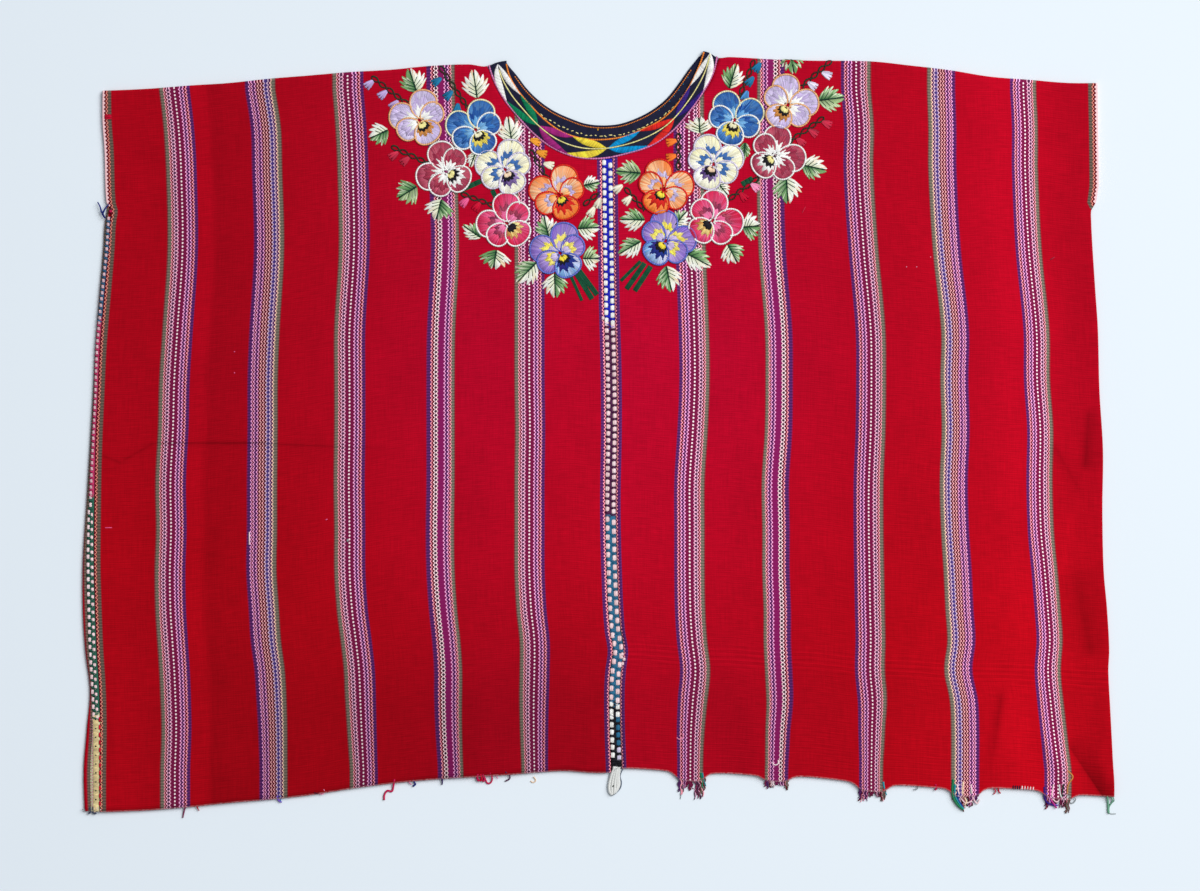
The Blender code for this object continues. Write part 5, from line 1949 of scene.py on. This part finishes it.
def ribbon_work():
    """Pairs of leaves in satin stitch along the ribbon, its midline and its corded edges."""
    stitches = Stitches(seed=33)
    angle_at = ribbon_angles()
    pitch = 1.0 / len(RIBBON_LEAVES)
    share = np.linspace(0.02, 0.98, RIBBON_STITCH_ROWS)
    for number, dye in enumerate(RIBBON_LEAVES):
        apex, ahead = (number * pitch, 1.0) if number % 2 == 0 else ((number + 1) * pitch, -1.0)
        for side in (-1.0, 1.0):
            ends = []
            for along, across in RIBBON_LEAF_SIDES:
                place = np.clip(apex + ahead * bend(*along, share) * pitch, 0.004, 0.996)
                share_across = RIBBON_MIDDLE + side * bend(*across, share) * RIBBON_HALF
                ends.append(along_front(angle_at(place), share_across))
            stitches.add(ends[0], ends[1], 1.25, RIBBON_RISE + 0.02, dye, 0.07)
    for low, high, count, across, width, above, dye in RIBBON_CORDS:
        line = angle_at(np.linspace(low, high, count))
        stitches.cord(along_front(line, np.full(count, across)), width, above, dye)
    return stitches


def on_back_facing(x, y, above):
    """Points over the upper side of the back's ribbon, seen through the neck."""
    return np.stack([x, y, BACK_LEVEL + 0.5 * WALL + above], axis=-1)


FACING_LINE = 8.6         # of dashes, from the back ribbon's inner edge


def facing_work():
    """The reverse of the back ribbon's stitching, seen through the neck."""
    stitches = Stitches(seed=34)
    angles = np.linspace(190.0, 354.0, 118)

    def at(angle, from_edge):
        return np.stack(neck_point(angle, BACK_INNER, from_edge), axis=-1)

    stitches.cord(at(angles, 2.0), 1.0, 0.05, "orange", overlap=1.05)
    dashes = np.arange(206.0, 352.0, 3.6)
    wobble = stitches.random.uniform(-0.8, 0.8, (2, len(dashes)))
    long_dash = stitches.random.uniform(1.8, 3.4, len(dashes))
    start = at(dashes, FACING_LINE + wobble[0])
    stitches.add(start, at(dashes + long_dash, FACING_LINE + wobble[1]), 1.05, 0.1, "straw")
    spots = np.arange(318.0, 350.0, 5.0)
    stitches.add(at(spots, 3.2), at(spots + 1.2, 3.4), 0.9, 0.03, "teal")
    stitches.add(at(np.array([266.0]), 2.2), at(np.array([266.2]), 4.6), 1.2, 0.1, "gold")
    return stitches


# ---- loose threads ----
# fray node, middle, width, reach of its threads, stripes that it ends, their order from the left
HEM_FRAYS = (
    ("hem_fray_1", 71.5, 22.0, 17.0, WIDE_BAND, -1),
    ("hem_fray_2", 139.0, 19.0, 8.5, INNER_BAND, 1),
    ("hem_fray_3", 214.0, 22.0, 11.0, WIDE_BAND, -1),
    ("hem_fray_4", 287.0, 22.0, 13.0, OUTER_BAND, -1),
    ("hem_fray_5", 359.5, 21.0, 12.0, WIDE_BAND, -1),
)
# start across and up, direction, length, bend over its whole length, width, thread
LOOSE_THREADS = (
    (-326.0, 5.5, 250.0, 10.5, 12.0, 1.6, "plum"),
    (-317.5, 6.2, 275.0, 5.5, 30.0, 1.3, "ruby"),
    (-298.0, 8.2, 300.0, 4.0, 160.0, 1.0, "violet"),
    (-254.0, 13.0, 262.0, 7.0, 90.0, 1.7, "violet"),
    (-252.0, 13.0, 300.0, 5.0, -60.0, 1.3, "azure"),
    (-225.0, 15.5, 320.0, 5.0, 110.0, 2.1, "navy"),
    (-221.0, 15.5, 300.0, 8.0, 210.0, 1.0, "blush"),
    (-151.0, 25.0, 290.0, 4.5, 40.0, 1.2, "blush"),
    (-124.5, 27.0, 280.0, 5.5, -20.0, 1.7, "grape"),
    (-82.0, 30.0, 290.0, 4.0, 10.0, 1.0, "blush"),
    (-392.5, 472.0, 96.0, 9.0, 30.0, 1.4, "ultramarine"),
    (-391.0, 472.0, 70.0, 8.0, -30.0, 1.4, "ultramarine"),
    (-391.5, 473.0, 265.0, 6.0, 60.0, 2.0, "ultramarine"),
    (65.0, 61.5, 300.0, 9.0, -200.0, 1.3, "blush"),
    (79.0, 31.0, 290.0, 12.0, -30.0, 2.0, "green"),
    (80.5, 31.0, 280.0, 11.0, 10.0, 1.7, "turquoise"),
    (64.5, 22.0, 268.0, 12.0, -8.0, 0.8, "dusty"),
    (140.0, 41.0, 300.0, 9.0, -220.0, 1.3, "petal"),
    (223.0, 24.0, 275.0, 11.0, 20.0, 1.7, "turquoise"),
    (250.0, 20.5, 290.0, 5.5, -150.0, 1.0, "dusty"),
    (292.0, 18.5, 255.0, 11.0, 110.0, 1.0, "dusty"),
    (310.0, 18.6, 330.0, 6.0, -140.0, 1.3, "dusk"),
    (314.0, 19.0, 250.0, 5.0, 90.0, 1.6, "ruby"),
    (351.5, 15.6, 280.0, 15.0, 70.0, 1.4, "violet"),
)
# thread, width, height over the floor, then the places that a curled end passes through
CURLED_THREADS = (
    ("cerise", 1.5, 0.2, (-161.8, 26.0), (-162.6, 21.0), (-163.9, 16.3), (-167.4, 16.8), (-169.8, 13.5),
     (-170.0, 9.4)),
    ("ultramarine", 1.3, 0.2, (-146.8, 26.0), (-146.2, 23.4), (-145.3, 21.9), (-147.4, 20.2), (-145.8, 21.4)),
    ("cerise", 2.0, 0.2, (-96.2, 30.0), (-96.6, 26.5), (-95.4, 24.4)),
    ("ruby", 2.0, 0.3, (-94.0, 30.0), (-93.2, 26.0), (-94.8, 24.6)),
    ("cerise", 2.0, 0.2, (-92.0, 30.0), (-91.0, 25.6), (-92.4, 24.2)),
    ("cerise", 1.3, 0.2, (-90.5, 26.5), (-88.6, 22.6), (-86.0, 23.2), (-84.9, 26.8), (-86.6, 31.0)),
    ("aubergine", 1.1, 0.2, (-74.6, 31.8), (-71.4, 29.4), (-71.2, 26.2), (-74.6, 24.2)),
    ("shell", 0.9, 0.1, (-54.6, 24.4), (-52.6, 23.2), (-50.6, 24.8), (-52.2, 28.0)),
    ("chalk", 2.7, 0.1, (11.4, 36.0), (8.6, 27.8), (7.2, 20.4), (7.9, 15.4), (9.6, 13.8)),
    ("chalk", 2.7, 0.2, (12.6, 36.0), (10.6, 27.8), (9.4, 20.4), (9.6, 14.6), (10.6, 14.0)),
    ("chalk", 2.7, 0.3, (13.6, 36.0), (12.4, 27.8), (11.6, 20.6), (11.4, 16.0), (11.0, 14.4)),
    ("chalk", 2.6, 0.2, (14.6, 36.0), (13.8, 27.8), (13.6, 21.2), (12.8, 17.2), (11.6, 15.2)),
    ("chalk", 2.4, 0.1, (15.6, 36.0), (14.6, 28.0), (15.0, 22.2), (14.0, 18.6), (12.6, 16.4)),
    ("dusk_blue", 0.8, 0.2, (19.0, 36.0), (15.9, 28.4), (16.9, 23.8), (16.3, 19.4), (13.6, 15.8),
     (9.2, 12.7)),
    ("moss", 0.9, 2.4, (9.9, 20.2), (10.9, 21.0)),
    ("cerise", 1.6, 0.2, (264.0, 22.0), (265.0, 19.0), (263.8, 17.4)),
    ("petal", 1.3, 0.6, (281.0, 22.0), (283.2, 13.0), (288.0, 7.2), (293.0, 8.8)),
    ("petal", 1.2, 0.8, (292.0, 22.0), (293.6, 12.0), (297.0, 6.6), (299.0, 10.0)),
    ("green", 2.0, 0.9, (278.0, 26.0), (277.6, 14.0), (281.4, 6.0), (286.2, 1.9)),
    ("turquoise", 1.8, 0.9, (279.4, 22.0), (279.6, 13.0), (283.4, 6.0), (286.4, 2.4)),
    ("cobalt", 1.6, 0.9, (281.4, 16.0), (282.4, 9.0), (285.4, 4.2)),
    ("shell", 1.4, 0.9, (286.0, 24.0), (285.6, 14.0), (288.6, 8.6), (287.0, 5.4)),
    ("indigo", 1.4, 0.9, (349.6, 20.0), (350.0, 12.0), (352.4, 7.4), (359.4, 4.6)),
    ("fuchsia", 1.5, 0.9, (354.0, 20.0), (354.6, 11.0), (357.6, 6.0), (359.6, 3.2)),
    ("petal", 1.3, 1.0, (357.0, 22.0), (356.0, 12.0), (359.6, 8.0), (362.0, 10.6)),
    ("chalk", 1.4, 0.9, (361.4, 22.0), (362.6, 13.0), (366.0, 9.8), (368.4, 12.6)),
    ("moss", 1.2, 0.9, (364.4, 22.0), (364.0, 12.0), (367.0, 8.6)),
    ("dusty", 0.8, 0.2, (366.0, 14.0), (370.4, 12.4), (374.6, 10.6), (372.6, 7.0), (368.4, 8.0)),
    ("tan", 1.1, 4.6, (367.8, 33.0), (372.0, 28.0), (368.4, 22.0), (367.6, 14.8)),
    ("pale_green", 1.6, 0.2, (399.4, 13.0), (400.2, 6.0), (400.4, -0.4)),
    ("pale_green", 1.2, 0.3, (401.8, 13.0), (403.6, 8.6), (401.0, 4.0), (400.9, -1.4)),
    ("pale_green", 0.8, 0.2, (403.4, 13.0), (404.8, 9.0), (402.4, 6.6)),
    ("dusty", 0.6, 0.1, (401.0, -1.2), (403.6, -1.6), (406.4, -1.5)),
    ("dusty", 0.8, 0.1, (-399.6, 1.6), (-404.0, 1.0), (-407.6, 2.4)),
    ("slate_blue", 1.3, 0.3, (-401.6, 4.0), (-401.0, 0.4), (-402.8, -1.2)),
    ("slate_blue", 1.4, 0.4, (-399.0, 4.0), (-398.8, -0.6), (-396.4, -1.0)),
    ("shell", 1.4, 0.4, (-397.4, 4.0), (-398.4, 0.6), (-396.0, 1.6), (-396.6, 4.0)),
    ("chalk", 1.2, 0.2, (-395.4, 4.0), (-394.8, 0.6), (-393.0, 2.4)),
)
# from and to across, distance between stitches, thread: overcast stitches over the cut edge
OVERCAST = (
    (325.4, 331.6, 1.7, "navy"),
    (332.4, 343.0, 2.2, "petal"),
)
OVERCAST_LENGTH = 3.0
THREAD_POINTS = 14
CURLED_POINTS = 22
CURLS = 1.8               # waves along a frayed thread
LOCKS = 5                 # into which the ends of a band gather
SINKS_WITHIN = 5.0        # below the hem, a thread comes down to the floor over this
CUT_EDGE = 2.0            # above the hem, a thread lies on the cloth's face from here
OFF_FLOOR = 0.15


def tubes(name, paths, widths, dyes, material):
    """Four-sided threads along paths of equal length; points (threads, steps, 3)."""
    ahead = np.gradient(paths, axis=1)
    ahead /= np.linalg.norm(ahead, axis=-1, keepdims=True) + 1e-9
    side = np.stack([-ahead[..., 1], ahead[..., 0], 0.0 * ahead[..., 0]], axis=-1)
    side /= np.linalg.norm(side, axis=-1, keepdims=True) + 1e-9
    up = np.cross(ahead, side)
    half = 0.5 * widths[..., None]
    rings = np.stack([paths + half * side, paths + half * up, paths - half * side, paths - half * up], axis=2)
    count, steps = paths.shape[:2]
    index = np.arange(count * steps * 4).reshape(count, steps, 4)
    beside = np.roll(index, -1, axis=2)
    body = np.stack([index[:, :-1], beside[:, :-1], beside[:, 1:], index[:, 1:]], axis=-1).reshape(-1, 4)
    caps = np.concatenate([index[:, 0, ::-1], index[:, -1]])
    piece = piece_from(name, rings.reshape(-1, 3), [body, caps], material)
    colours = np.repeat(linear(dyes), steps * 4, axis=0)
    set_colours(piece, "thread_colour", colours)
    travelled = np.linspace(0.0, 14.0, steps)[None, :, None] + np.zeros((count, steps, 4))
    across = np.array([1.0, 0.0, -1.0, 0.0]) + np.zeros((count, steps, 4))
    number = np.arange(count)[:, None, None] + np.zeros((count, steps, 4))
    set_vectors(piece, "thread", np.stack([travelled, across, number], axis=-1))
    return facing_up(piece)


def thread_level(x, y, low):
    """Height of a thread that leaves the cloth at the hem and sinks to this height over the floor."""
    below = np.clip((hem(x) - y) / SINKS_WITHIN, 0.0, 1.0)
    on_top = front_level(x, y) + 0.5 * WALL * (y > hem(x) + CUT_EDGE)
    return (1 - below) * on_top + below * low


def laid_path(x, y, direction, length, bends, curl=0.0, phase=0.0, steps=THREAD_POINTS):
    """Places of a thread that bends evenly and curls as it goes."""
    share = np.linspace(0.0, 1.0, steps)
    turn = np.radians(direction + bends * share + curl * np.sin(CURLS * 2 * math.pi * share + phase))
    step = length / (steps - 1)
    points_x = x + np.concatenate([[0.0], np.cumsum(step * np.cos(turn[:-1]))])
    points_y = y + np.concatenate([[0.0], np.cumsum(step * np.sin(turn[:-1]))])
    return points_x, points_y


def threads_from(rows, name, material, seed):
    """Threads from rows of start, direction, length, bend, width, dye and, for a fray, curl and phase."""
    random = np.random.default_rng(seed)
    paths, widths, dyes = [], [], []
    for x, y, direction, length, bends, width, dye, *curl in rows:
        px, py = laid_path(x, y, direction, length, bends, *curl)
        z = thread_level(px, py, 0.5 * width + OFF_FLOOR)
        paths.append(np.stack([px, py, z], axis=-1))
        widths.append(width * np.linspace(1.0, 0.6, len(px)))
        dyes.append(np.array(THREADS[dye] if isinstance(dye, str) else dye) * random.uniform(0.9, 1.08))
    return tubes(name, np.array(paths), np.array(widths), np.array(dyes), material)


def curled_threads(name, material):
    """The curled ends of the table, smooth through their places."""
    paths, widths, dyes = [], [], []
    for dye, width, rise, *places in CURLED_THREADS:
        places = np.array(places)
        runs = np.linalg.norm(np.diff(places, axis=0), axis=1)
        passed = np.concatenate([[0.0], np.cumsum(runs)])
        share = np.linspace(0.0, passed[-1], CURLED_POINTS)
        x, y = (Curve(list(zip(passed, places[:, k])))(share) for k in (0, 1))
        z = thread_level(x, y, 0.5 * width + rise)
        paths.append(np.stack([x, y, z], axis=-1))
        widths.append(np.full(CURLED_POINTS, width))
        dyes.append(THREADS[dye])
    return tubes(name, np.array(paths), np.array(widths), np.array(dyes), material)


def overcast():
    """Short stitches over the cut edge of the hem."""
    stitches = Stitches(seed=35)
    for low, high, pitch, dye in OVERCAST:
        x = np.arange(low, high, pitch)
        start = np.stack([x, hem(x) + OVERCAST_LENGTH], axis=-1)
        end = np.stack([x - 0.4, hem(x) - 0.4], axis=-1)
        stitches.add(start, end, 1.1, 0.1, dye, 0.08)
    return stitches


def fray_rows(settings, middle, width, reach, stripes, order, random):
    """The loose warp ends of one stripe band, gathered in locks, each in its own stripe's dye."""
    rows = []
    total = stripes[-1][0]
    thin, thick = settings.thinnest / METRES, settings.thickest / METRES
    for share in np.linspace(0.02, 0.98, int(1.7 * width)):
        x = middle + width * (share - 0.5)
        place = total * (share if order > 0 else 1.0 - share)
        dye = next(name for edge, name in stripes if place <= edge)
        lock = (int(share * LOCKS) + 0.5) / LOCKS
        length = settings.reach * reach * (0.72 + 0.28 * math.sin(7.0 * lock + middle))
        length *= random.uniform(0.75, 1.05)
        drawn = math.degrees(math.atan(0.7 * width * (lock - share) / length))
        rows.append((x, hem(x) + 0.8, 270.0 + drawn + random.uniform(-6.0, 6.0), length,
                     random.uniform(-25.0, 25.0), random.uniform(thin, thick), DYES[dye],
                     random.uniform(20.0, 50.0), 9.0 * lock + random.uniform(-0.5, 0.5)))
    return rows


# ---- settings ----
class ClothSettings(bpy.types.PropertyGroup):
    ground: bpy.props.FloatVectorProperty(
        name="Ground", description="Display colour of the plain cloth", subtype="COLOR_GAMMA",
        size=3, min=0.0, max=1.0, default=(0.665, 0.018, 0.110))
    warp_pitch: bpy.props.FloatProperty(
        name="Warp pitch", description="Distance between warp threads", unit="LENGTH", default=0.00078)
    weft_pitch: bpy.props.FloatProperty(
        name="Weft pitch", description="Distance between weft threads", unit="LENGTH", default=0.00165)
    weave_relief: bpy.props.FloatProperty(
        name="Weave relief", description="Height of the threads over the gaps between them",
        unit="LENGTH", default=0.00006)


class EmbroiderySettings(bpy.types.PropertyGroup):
    thread_width: bpy.props.FloatProperty(
        name="Thread width", description="Width of a satin stitch", unit="LENGTH", default=0.001)
    rim_width: bpy.props.FloatProperty(
        name="Rim width", description="Width of the cord round each petal", unit="LENGTH", default=0.0017)


class SeamSettings(bpy.types.PropertyGroup):
    knot_width: bpy.props.FloatProperty(
        name="Knot width", description="Width of the knots along the joining seam", unit="LENGTH",
        default=0.0029)
    knot_share: bpy.props.FloatProperty(
        name="Knot length", description="Share of the distance between two knots that a knot fills",
        subtype="FACTOR", min=0.1, max=1.0, default=0.93)


class RibbonSettings(bpy.types.PropertyGroup):
    ground: bpy.props.FloatVectorProperty(
        name="Ribbon", description="Display colour of the ribbon", subtype="COLOR_GAMMA",
        size=3, min=0.0, max=1.0, default=(0.075, 0.082, 0.188))
    roughness: bpy.props.FloatProperty(
        name="Roughness", description="How dull the ribbon's face is", subtype="FACTOR",
        min=0.0, max=1.0, default=0.6)


class FraySettings(bpy.types.PropertyGroup):
    reach: bpy.props.FloatProperty(
        name="Reach", description="Length of the frayed ends against their table", min=0.2, max=1.2,
        default=1.0)
    thinnest: bpy.props.FloatProperty(
        name="Thinnest", description="Width of the thinnest loose thread", unit="LENGTH", default=0.0009)
    thickest: bpy.props.FloatProperty(
        name="Thickest", description="Width of the thickest loose thread", unit="LENGTH", default=0.0015)


class StageSettings(bpy.types.PropertyGroup):
    floor_colour: bpy.props.FloatVectorProperty(
        name="Floor", description="Display colour of the floor", subtype="COLOR_GAMMA",
        size=3, min=0.0, max=1.0, default=(0.893, 0.930, 0.962))
    camera_height: bpy.props.FloatProperty(
        name="Camera height", description="Height of the camera over the floor", unit="LENGTH", default=2.6)
    view_width: bpy.props.FloatProperty(
        name="View width", description="Width of the floor that the camera takes in",
        unit="LENGTH", default=0.9456)
    key_power: bpy.props.FloatProperty(
        name="Key light", description="Power of the large soft light", unit="POWER", default=17.0)
    low_key_strength: bpy.props.FloatProperty(
        name="Low light", description="Strength of the light that comes in low from the upper right",
        default=1.98)
    fill_strength: bpy.props.FloatProperty(
        name="Fill", description="Strength of the even light from all round", default=0.315)


# ---- operators ----
def dress(piece, node):
    """Let a piece stand for a node of the frame."""
    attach(piece, "root")
    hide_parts(node)
    return piece


# which way from the seam, name, node
SIDES = ((-1, "left", "left_panel"), (1, "right", "right_panel"))


class HUIPIL_OT_cloth(bpy.types.Operator):
    """Weave the two striped loom widths that make the front and the back"""

    bl_idname = "huipil.cloth"
    bl_label = "Loom widths"

    def execute(self, context):
        material = loom_cloth(context.scene.huipil_cloth)
        for side, name, node in SIDES:
            name += "_loom_width"
            cloth = dress(loom_width(name, side, material), node)
        return {"FINISHED"}


class HUIPIL_OT_embroidery(bpy.types.Operator):
    """Work the two sprays of pansies, leaves and buds on either side of the neck"""

    bl_idname = "huipil.embroidery"
    bl_label = "Embroidery"

    def execute(self, context):
        material = thread_material("embroidery_cotton")
        for side, name, node in SIDES:
            name += "_embroidery"
            work = sprays(side, context.scene.huipil_embroidery)
            dress(work.piece(name, material), node)
        return {"FINISHED"}


CENTRE_ROWS = (240, 200)  # of the front and the back joining strip
SIDE_ROWS = 120
# which way from the seam, node, whether its strip lies on the front, rise of its columns, needlework
SIDE_SEAMS = (
    (-1, "left_side_seam", True, (0.0, 0.1, 0.0), LEFT_WORK),
    (1, "right_side_seam", False, (0.0, 0.0, 0.0), HIDDEN_WORK),
)


def beside_centre(way):
    """The left or the right side line of the joining strips."""
    return lambda y: centre_line(y) + way * 0.5 * SEAM_WIDTH


def neck_foot(column):
    """The line across a joining strip where it meets an edge of the neck ribbon."""
    reach = neck_reach[column](270.0) + GAP
    return lambda x: NECK_CENTRE[1] - np.sqrt(reach ** 2 - (np.asarray(x) - NECK_CENTRE[0]) ** 2)


def side_seam_lines(side):
    """Left, right, lower and upper line of the strip between the two layers' edges at one side."""
    ends = []
    for front in (True, False):
        middle = layer(side, front)[0]
        ends.append(middle[middle[:, -1, 1] < ROLL_END - 1.0, -1])

    def beside(points, clearance):
        return lambda y: np.interp(y, points[:, 1], points[:, 0]) + clearance

    def level_line(height):
        return lambda x: np.full(np.shape(x), height)

    left, right = ends[::side]
    low = max(points[0, 1] for points in ends)
    high = min(points[-1, 1] for points in ends)
    return beside(left, GAP), beside(right, -GAP), level_line(low), level_line(high)


class HUIPIL_OT_seams(bpy.types.Operator):
    """Join the two widths with knotted needlework and close the sides"""

    bl_idname = "huipil.seams"
    bl_label = "Seams"

    def execute(self, context):
        material = thread_material("seam_cotton")
        sides = beside_centre(-1), beside_centre(1)
        front_rows, back_rows = CENTRE_ROWS
        crown = (0.0, SEAM_RISE, SEAM_RISE, SEAM_RISE, 0.0)
        dress(strip("front_centre_strip", *sides, hem, neck_foot(FRONT_OUTER), True, crown,
                    CENTRE_WORK, material, front_rows), "front_centre_seam")
        work = centre_work(context.scene.huipil_seams)
        dress(work.piece("front_centre_knots", material), "front_centre_seam")
        dress(strip("back_centre_strip", *sides, lambda x: hem(x) + BACK_SHORTER, neck_foot(BACK_OUTER),
                    False, (0.0, 0.0, 0.0, 0.0), CENTRE_WORK, material, back_rows),
              "back_centre_seam")
        dress(left_work().piece("left_edge_knots", material), "left_side_seam")
        for side, node, front, crown, dyes in SIDE_SEAMS:
            dress(strip(node + "_strip", *side_seam_lines(side), front, crown, dyes, material, SIDE_ROWS),
                  node)
        return {"FINISHED"}


class HUIPIL_OT_ribbon(bpy.types.Operator):
    """Bind the neck with the black ribbon and its chain of leaves"""

    bl_idname = "huipil.ribbon"
    bl_label = "Neck ribbon"

    def execute(self, context):
        cloth = ribbon_cloth(context.scene.huipil_ribbon)
        band = dress(ribbon_piece("neck_ribbon_band", cloth), "neck_ribbon")
        material = thread_material("ribbon_silk", roughness=0.4)
        dress(ribbon_work().piece("neck_ribbon_leaves", material), "neck_ribbon")
        work = facing_work().piece("neck_facing_stitches", material, on_back_facing)
        dress(work, "neck_ribbon")
        return {"FINISHED"}


class HUIPIL_OT_frays(bpy.types.Operator):
    """Fray the ends of the stripes along the hem"""

    bl_idname = "huipil.frays"
    bl_label = "Hem frays"

    def execute(self, context):
        material = thread_material("loose_cotton", roughness=0.8)
        random = np.random.default_rng(41)
        for node, middle, width, reach, stripes, order in HEM_FRAYS:
            rows = fray_rows(context.scene.huipil_frays, middle, width, reach, stripes, order, random)
            dress(threads_from(rows, node + "_threads", material, 42), node)
        dress(threads_from(LOOSE_THREADS, "loose_threads", material, 43), "hem_fray_1")
        dress(curled_threads("curled_threads", material), "hem_fray_1")
        dress(overcast().piece("overcast_stitches", material), "hem_fray_5")
        return {"FINISHED"}


FLOOR_SIZE = 6.0
PICTURE_SHIFT = (0.0011, -0.0102)   # where the camera stands over the floor, in metres
SENSOR = 36.0
SUN_PLACE = (1.4, 1.0, 1.6)
SUN_SOFTNESS = 38.0
KEY_PLACE = (0.9, 0.35, 1.9)
KEY_SIZE = (1.4, 1.0)
KEY_COLOUR = (1.0, 0.985, 0.96)
ROOM_COLOUR = (0.93, 0.96, 1.0, 1.0)
FLOOR_DROP = 0.0001                 # the floor lies this far below the lowest piece
FAR_CLIP = 20.0


def hang(context, name, light, place):
    """Hang a lamp, turned to the middle of the floor."""
    lamp = bpy.data.objects.new(name, light)
    lamp.location = place
    lamp.rotation_euler = (-lamp.location).to_track_quat("-Z", "Y").to_euler()
    context.scene.collection.objects.link(lamp)


class HUIPIL_OT_stage(bpy.types.Operator):
    """Lay a pale floor, hang the soft light and stand the camera straight over the blouse"""

    bl_idname = "huipil.stage"
    bl_label = "Stage"

    def execute(self, context):
        settings = context.scene.huipil_stage
        half = 0.5 * FLOOR_SIZE
        corners = [(-half, -half, 0.0), (half, -half, 0.0), (half, half, 0.0), (-half, half, 0.0)]
        mesh = bpy.data.meshes.new("floor")
        mesh.from_pydata(corners, [], [(0, 1, 2, 3)])
        floor = bpy.data.objects.new("floor", mesh)
        floor.location.z = CAD_BOX[0].z - FLOOR_DROP
        context.scene.collection.objects.link(floor)
        shades = Shades("pale_floor", roughness=0.9, colour=setting_paint(settings.floor_colour))
        mesh.materials.append(shades.material)

        world = bpy.data.worlds.new("soft_room")
        world.use_nodes = True
        background = world.node_tree.nodes["Background"]
        background.inputs["Color"].default_value = ROOM_COLOUR
        background.inputs["Strength"].default_value = settings.fill_strength
        context.scene.world = world

        sun = bpy.data.lights.new("low_key", "SUN")
        sun.energy = settings.low_key_strength
        sun.angle = math.radians(SUN_SOFTNESS)
        hang(context, "low_key", sun, SUN_PLACE)

        light = bpy.data.lights.new("soft_key", "AREA")
        light.shape = "RECTANGLE"
        light.size, light.size_y = KEY_SIZE
        light.color = KEY_COLOUR
        light.energy = settings.key_power
        hang(context, "soft_key", light, KEY_PLACE)

        lens = bpy.data.cameras.new("camera")
        lens.sensor_width = SENSOR
        lens.lens = SENSOR * settings.camera_height / settings.view_width
        lens.clip_end = FAR_CLIP
        camera = bpy.data.objects.new("camera", lens)
        camera.location = (PICTURE_SHIFT[0], PICTURE_SHIFT[1], settings.camera_height)
        context.scene.collection.objects.link(camera)
        context.scene.camera = camera
        context.scene.view_settings.view_transform = "Standard"
        return {"FINISHED"}


class HUIPIL_PT_panel(bpy.types.Panel):
    """Lists the pieces of the blouse"""

    bl_idname = "HUIPIL_PT_panel"
    bl_label = "Huipil Blouse"
    bl_space_type = "VIEW_3D"
    bl_region_type = "UI"
    bl_category = "Huipil"

    def draw(self, context):
        for operator in OPERATORS:
            self.layout.operator(operator.bl_idname)


OPERATORS = (
    HUIPIL_OT_cloth, HUIPIL_OT_seams, HUIPIL_OT_ribbon, HUIPIL_OT_embroidery, HUIPIL_OT_frays,
    HUIPIL_OT_stage,
)
SETTINGS = (
    ("huipil_cloth", ClothSettings), ("huipil_embroidery", EmbroiderySettings),
    ("huipil_seams", SeamSettings), ("huipil_ribbon", RibbonSettings),
    ("huipil_frays", FraySettings), ("huipil_stage", StageSettings),
)


def register():
    """Add the settings, operators and panel to Blender."""
    for name, group in SETTINGS:
        bpy.utils.register_class(group)
        setattr(bpy.types.Scene, name, bpy.props.PointerProperty(type=group))
    for kind in OPERATORS + (HUIPIL_PT_panel,):
        bpy.utils.register_class(kind)


def unregister():
    """Take them out again."""
    for kind in (HUIPIL_PT_panel,) + OPERATORS[::-1]:
        bpy.utils.unregister_class(kind)
    for name, group in SETTINGS:
        delattr(bpy.types.Scene, name)
        bpy.utils.unregister_class(group)


def main():
    """Register the add-on, make the blouse and set its stage."""
    register()
    bpy.ops.huipil.cloth()
    bpy.ops.huipil.seams()
    bpy.ops.huipil.ribbon()
    bpy.ops.huipil.embroidery()
    bpy.ops.huipil.frays()
    bpy.ops.huipil.stage()


if __name__ == "__main__":
    main()
